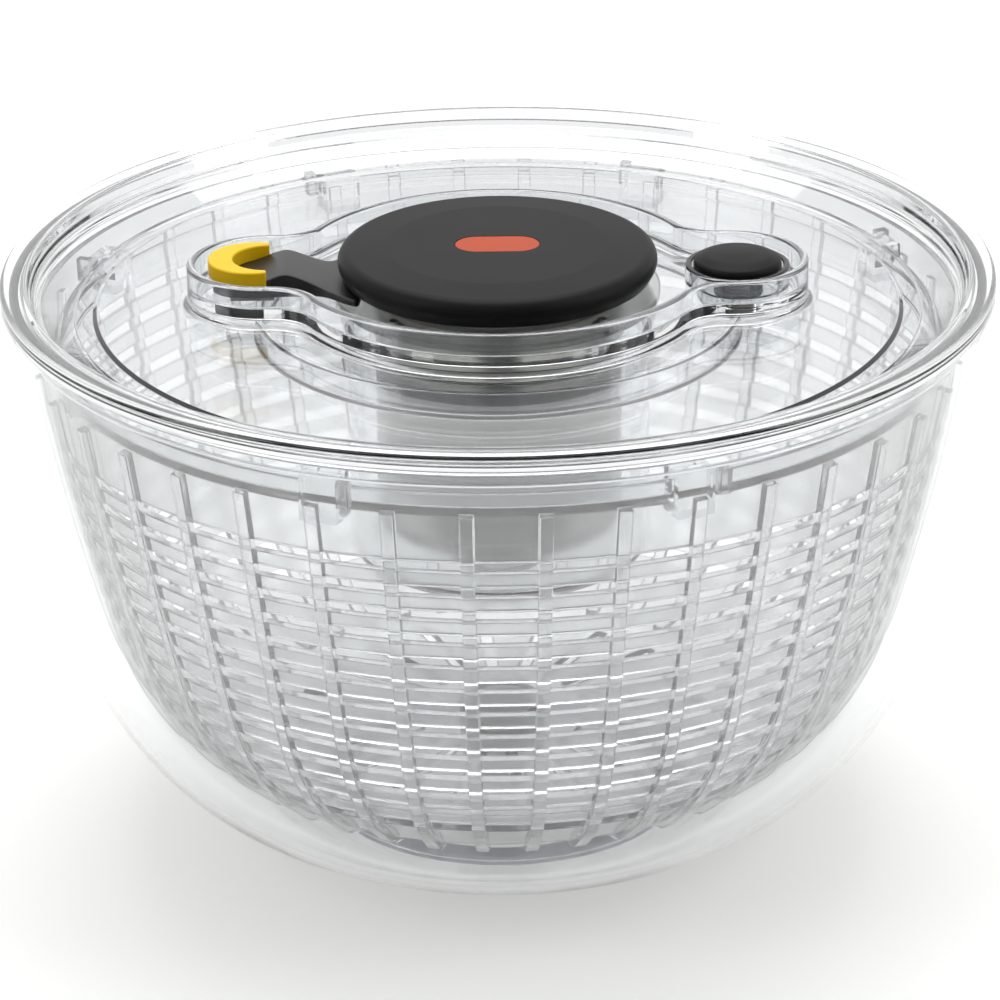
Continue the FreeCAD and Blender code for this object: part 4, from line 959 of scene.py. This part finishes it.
def grip_mesh():
    """The thumb grip: a crescent between an outer arc and a smaller inner arc set towards the knob."""
    wide = math.acos(GRIP_OPEN / GRIP_RADIUS)
    steps = 48
    points = []
    for step in range(steps + 1):
        turn = wide + (2 * math.pi - 2 * wide) * step / steps
        points.append((GRIP_RADIUS * math.cos(turn), GRIP_RADIUS * math.sin(turn)))
    for step in range(steps + 1):
        turn = math.radians(270 - 180 * step / steps)
        points.append((GRIP_OPEN + GRIP_INNER * math.cos(turn), GRIP_INNER * math.sin(turn)))
    mesh = bmesh.new()
    low = [mesh.verts.new(((x - LATCH_PLACE) * MM, y * MM, (PAD_TOP - 0.1) * MM)) for x, y in points]
    high = [mesh.verts.new(((x - LATCH_PLACE) * MM, y * MM, GRIP_TOP * MM)) for x, y in points]
    join_rings(mesh, low, high)
    half = steps + 1
    for index in range(half - 1):
        across = 2 * half - 1 - index
        mesh.faces.new((high[index], high[index + 1], high[across - 1], high[across]))
        mesh.faces.new((low[across], low[across - 1], low[index + 1], low[index]))
    return finished(mesh, "latch_thumb_grip")


# Yellow polypropylene, smooth and a little waxy, so light glows at its thin ends.
yellow = surface("polypropylene_yellow_moulded", {
    "Base Color": linear(YELLOW), "Roughness": 0.42, "IOR": 1.49, "Specular IOR Level": 0.3,
    "Subsurface Weight": 0.12, "Subsurface Scale": 0.0015})
vary_tone(yellow, 5, 3.0, YELLOW_DEEP, YELLOW)
grip = place("latch_thumb_grip", grip_mesh(), yellow)
edge_round(grip, 0.5)
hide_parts("latch_grip")
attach(grip, "latch")

# ------------------------------------------------------------------ brake button
# A low domed button in the right lobe, on a natural acetal stem and yoke that press a pad on the track.

BUTTON_RADIUS = 11.9
BUTTON_BOTTOM = PLATEAU + 3.1
BUTTON_TOP = BUTTON_BOTTOM + 5
BUTTON_SHELL = 1.4
STEM_RADIUS = 3.5
PAD_HIGH = PLATEAU_UNDER - 0.2
CREAM = "#E9E3D0"
button = turned("brake_button_dome", softened([
    (0, BUTTON_TOP - BUTTON_SHELL), (BUTTON_RADIUS - BUTTON_SHELL, BUTTON_TOP - BUTTON_SHELL, 0.4),
    (BUTTON_RADIUS - BUTTON_SHELL, BUTTON_BOTTOM, 0.3), (BUTTON_RADIUS, BUTTON_BOTTOM, 0.4),
    (BUTTON_RADIUS, BUTTON_TOP - 2.0, 1.6), (BUTTON_RADIUS - 3.2, BUTTON_TOP - 0.55, 6),
    (4, BUTTON_TOP - 0.05), (0, BUTTON_TOP)], 7), soft_touch, 128, (BRAKE_PLACE, 0))
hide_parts("brake_button")
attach(button, "brake")

# Natural acetal is cream-white and waxy, with a soft mottle of about 1 mm from the moulding.
natural = surface("acetal_natural_moulded", {
    "Base Color": linear(CREAM), "Roughness": 0.4, "IOR": 1.48, "Subsurface Weight": 0.15,
    "Subsurface Scale": 0.002})
vary_gloss(natural, 1, 0.32, 0.48)
brake_stem = turned("brake_stem_turned", softened([
    (0, PAD_HIGH), (STEM_RADIUS, PAD_HIGH), (STEM_RADIUS, BUTTON_TOP - BUTTON_SHELL - 0.02, 0.3),
    (0, BUTTON_TOP - BUTTON_SHELL - 0.02)]), natural, 64, (BRAKE_PLACE, 0))
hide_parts("brake_stem")
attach(brake_stem, "brake")

# ------------------------------------------------------------------ hidden working pieces
# The spiral rod, nut, bush, ratchet and screws are seen only as shadows through the housing, or when the lid
# is off, so they keep their own shapes and take the finish of what they are. The springs are drawn as coils.

ZINC = "#BFC0C2"
SPRING_GREY = "#9C9DA0"
RUBBER_GREY = "#8E8F92"

# Plated and drawn steel are uneven in shine at under a millimetre, and the brake's rubber is quite dull.
zinc = surface("steel_zinc_plated", {"Base Color": linear(ZINC), "Metallic": 1.0, "Roughness": 0.32})
wire = surface("spring_steel_drawn", {"Base Color": linear(SPRING_GREY), "Metallic": 1.0, "Roughness": 0.4})
pad_rubber = surface("nitrile_rubber_moulded", {
    "Base Color": linear(RUBBER_GREY), "Roughness": 0.7, "IOR": 1.52})
vary_gloss(zinc, 0.8, 0.25, 0.4)
vary_gloss(wire, 0.4, 0.32, 0.5)
vary_gloss(pad_rubber, 0.6, 0.6, 0.8)


def coil_mesh(name, radius, thick, low, high, turns, centre=0, steps=40, sides=10):
    """A coil of round wire between two heights, with flat capped ends."""
    mesh = bmesh.new()
    rings = []
    for step in range(steps * turns + 1):
        turn = 2 * math.pi * step / steps
        height = low + thick / 2 + (high - low - thick) * step / (steps * turns)
        ring = []
        for side in range(sides):
            lean = 2 * math.pi * side / sides
            reach = radius + thick / 2 * math.cos(lean)
            ring.append(mesh.verts.new((
                (centre + reach * math.cos(turn)) * MM, reach * math.sin(turn) * MM,
                (height + thick / 2 * math.sin(lean)) * MM)))
        rings.append(ring)
    join_capped(mesh, rings)
    return finished(mesh, name)


# (radius, wire, low end, high end, turns) of each spring. It stands on the lid and reaches up to the piece
# that it pushes.
MAIN_SPRING = (20, 1.1, HOUSING_FLOOR + 0.1, TUBE_BOTTOM - 0.1, 4)
BRAKE_SPRING = (5.5, 0.6, PLATEAU + 0.1, BUTTON_TOP - BUTTON_SHELL - 0.1, 3)
for node, sizes, centre, mover in (
        ("main_spring", MAIN_SPRING, 0, "plunger"), ("brake_spring", BRAKE_SPRING, BRAKE_PLACE, "brake")):
    spring = smooth(place(node + "_coil", coil_mesh(node + "_coil", *sizes, centre), wire), 60)
    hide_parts(node)
    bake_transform(spring)

for finish, nodes in (
        (zinc, ("housing_screws", "knob_screws", "rod_washer", "rod_screw")), (pad_rubber, ("brake_pad",)),
        (natural, ("rod_bush", "spiral_rod", "ratchet_driver", "latch_clip")),
        (acetal, ("drive_nut", "ratchet_ring"))):
    for node in nodes:
        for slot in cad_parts[node].material_slots:
            slot.material = finish
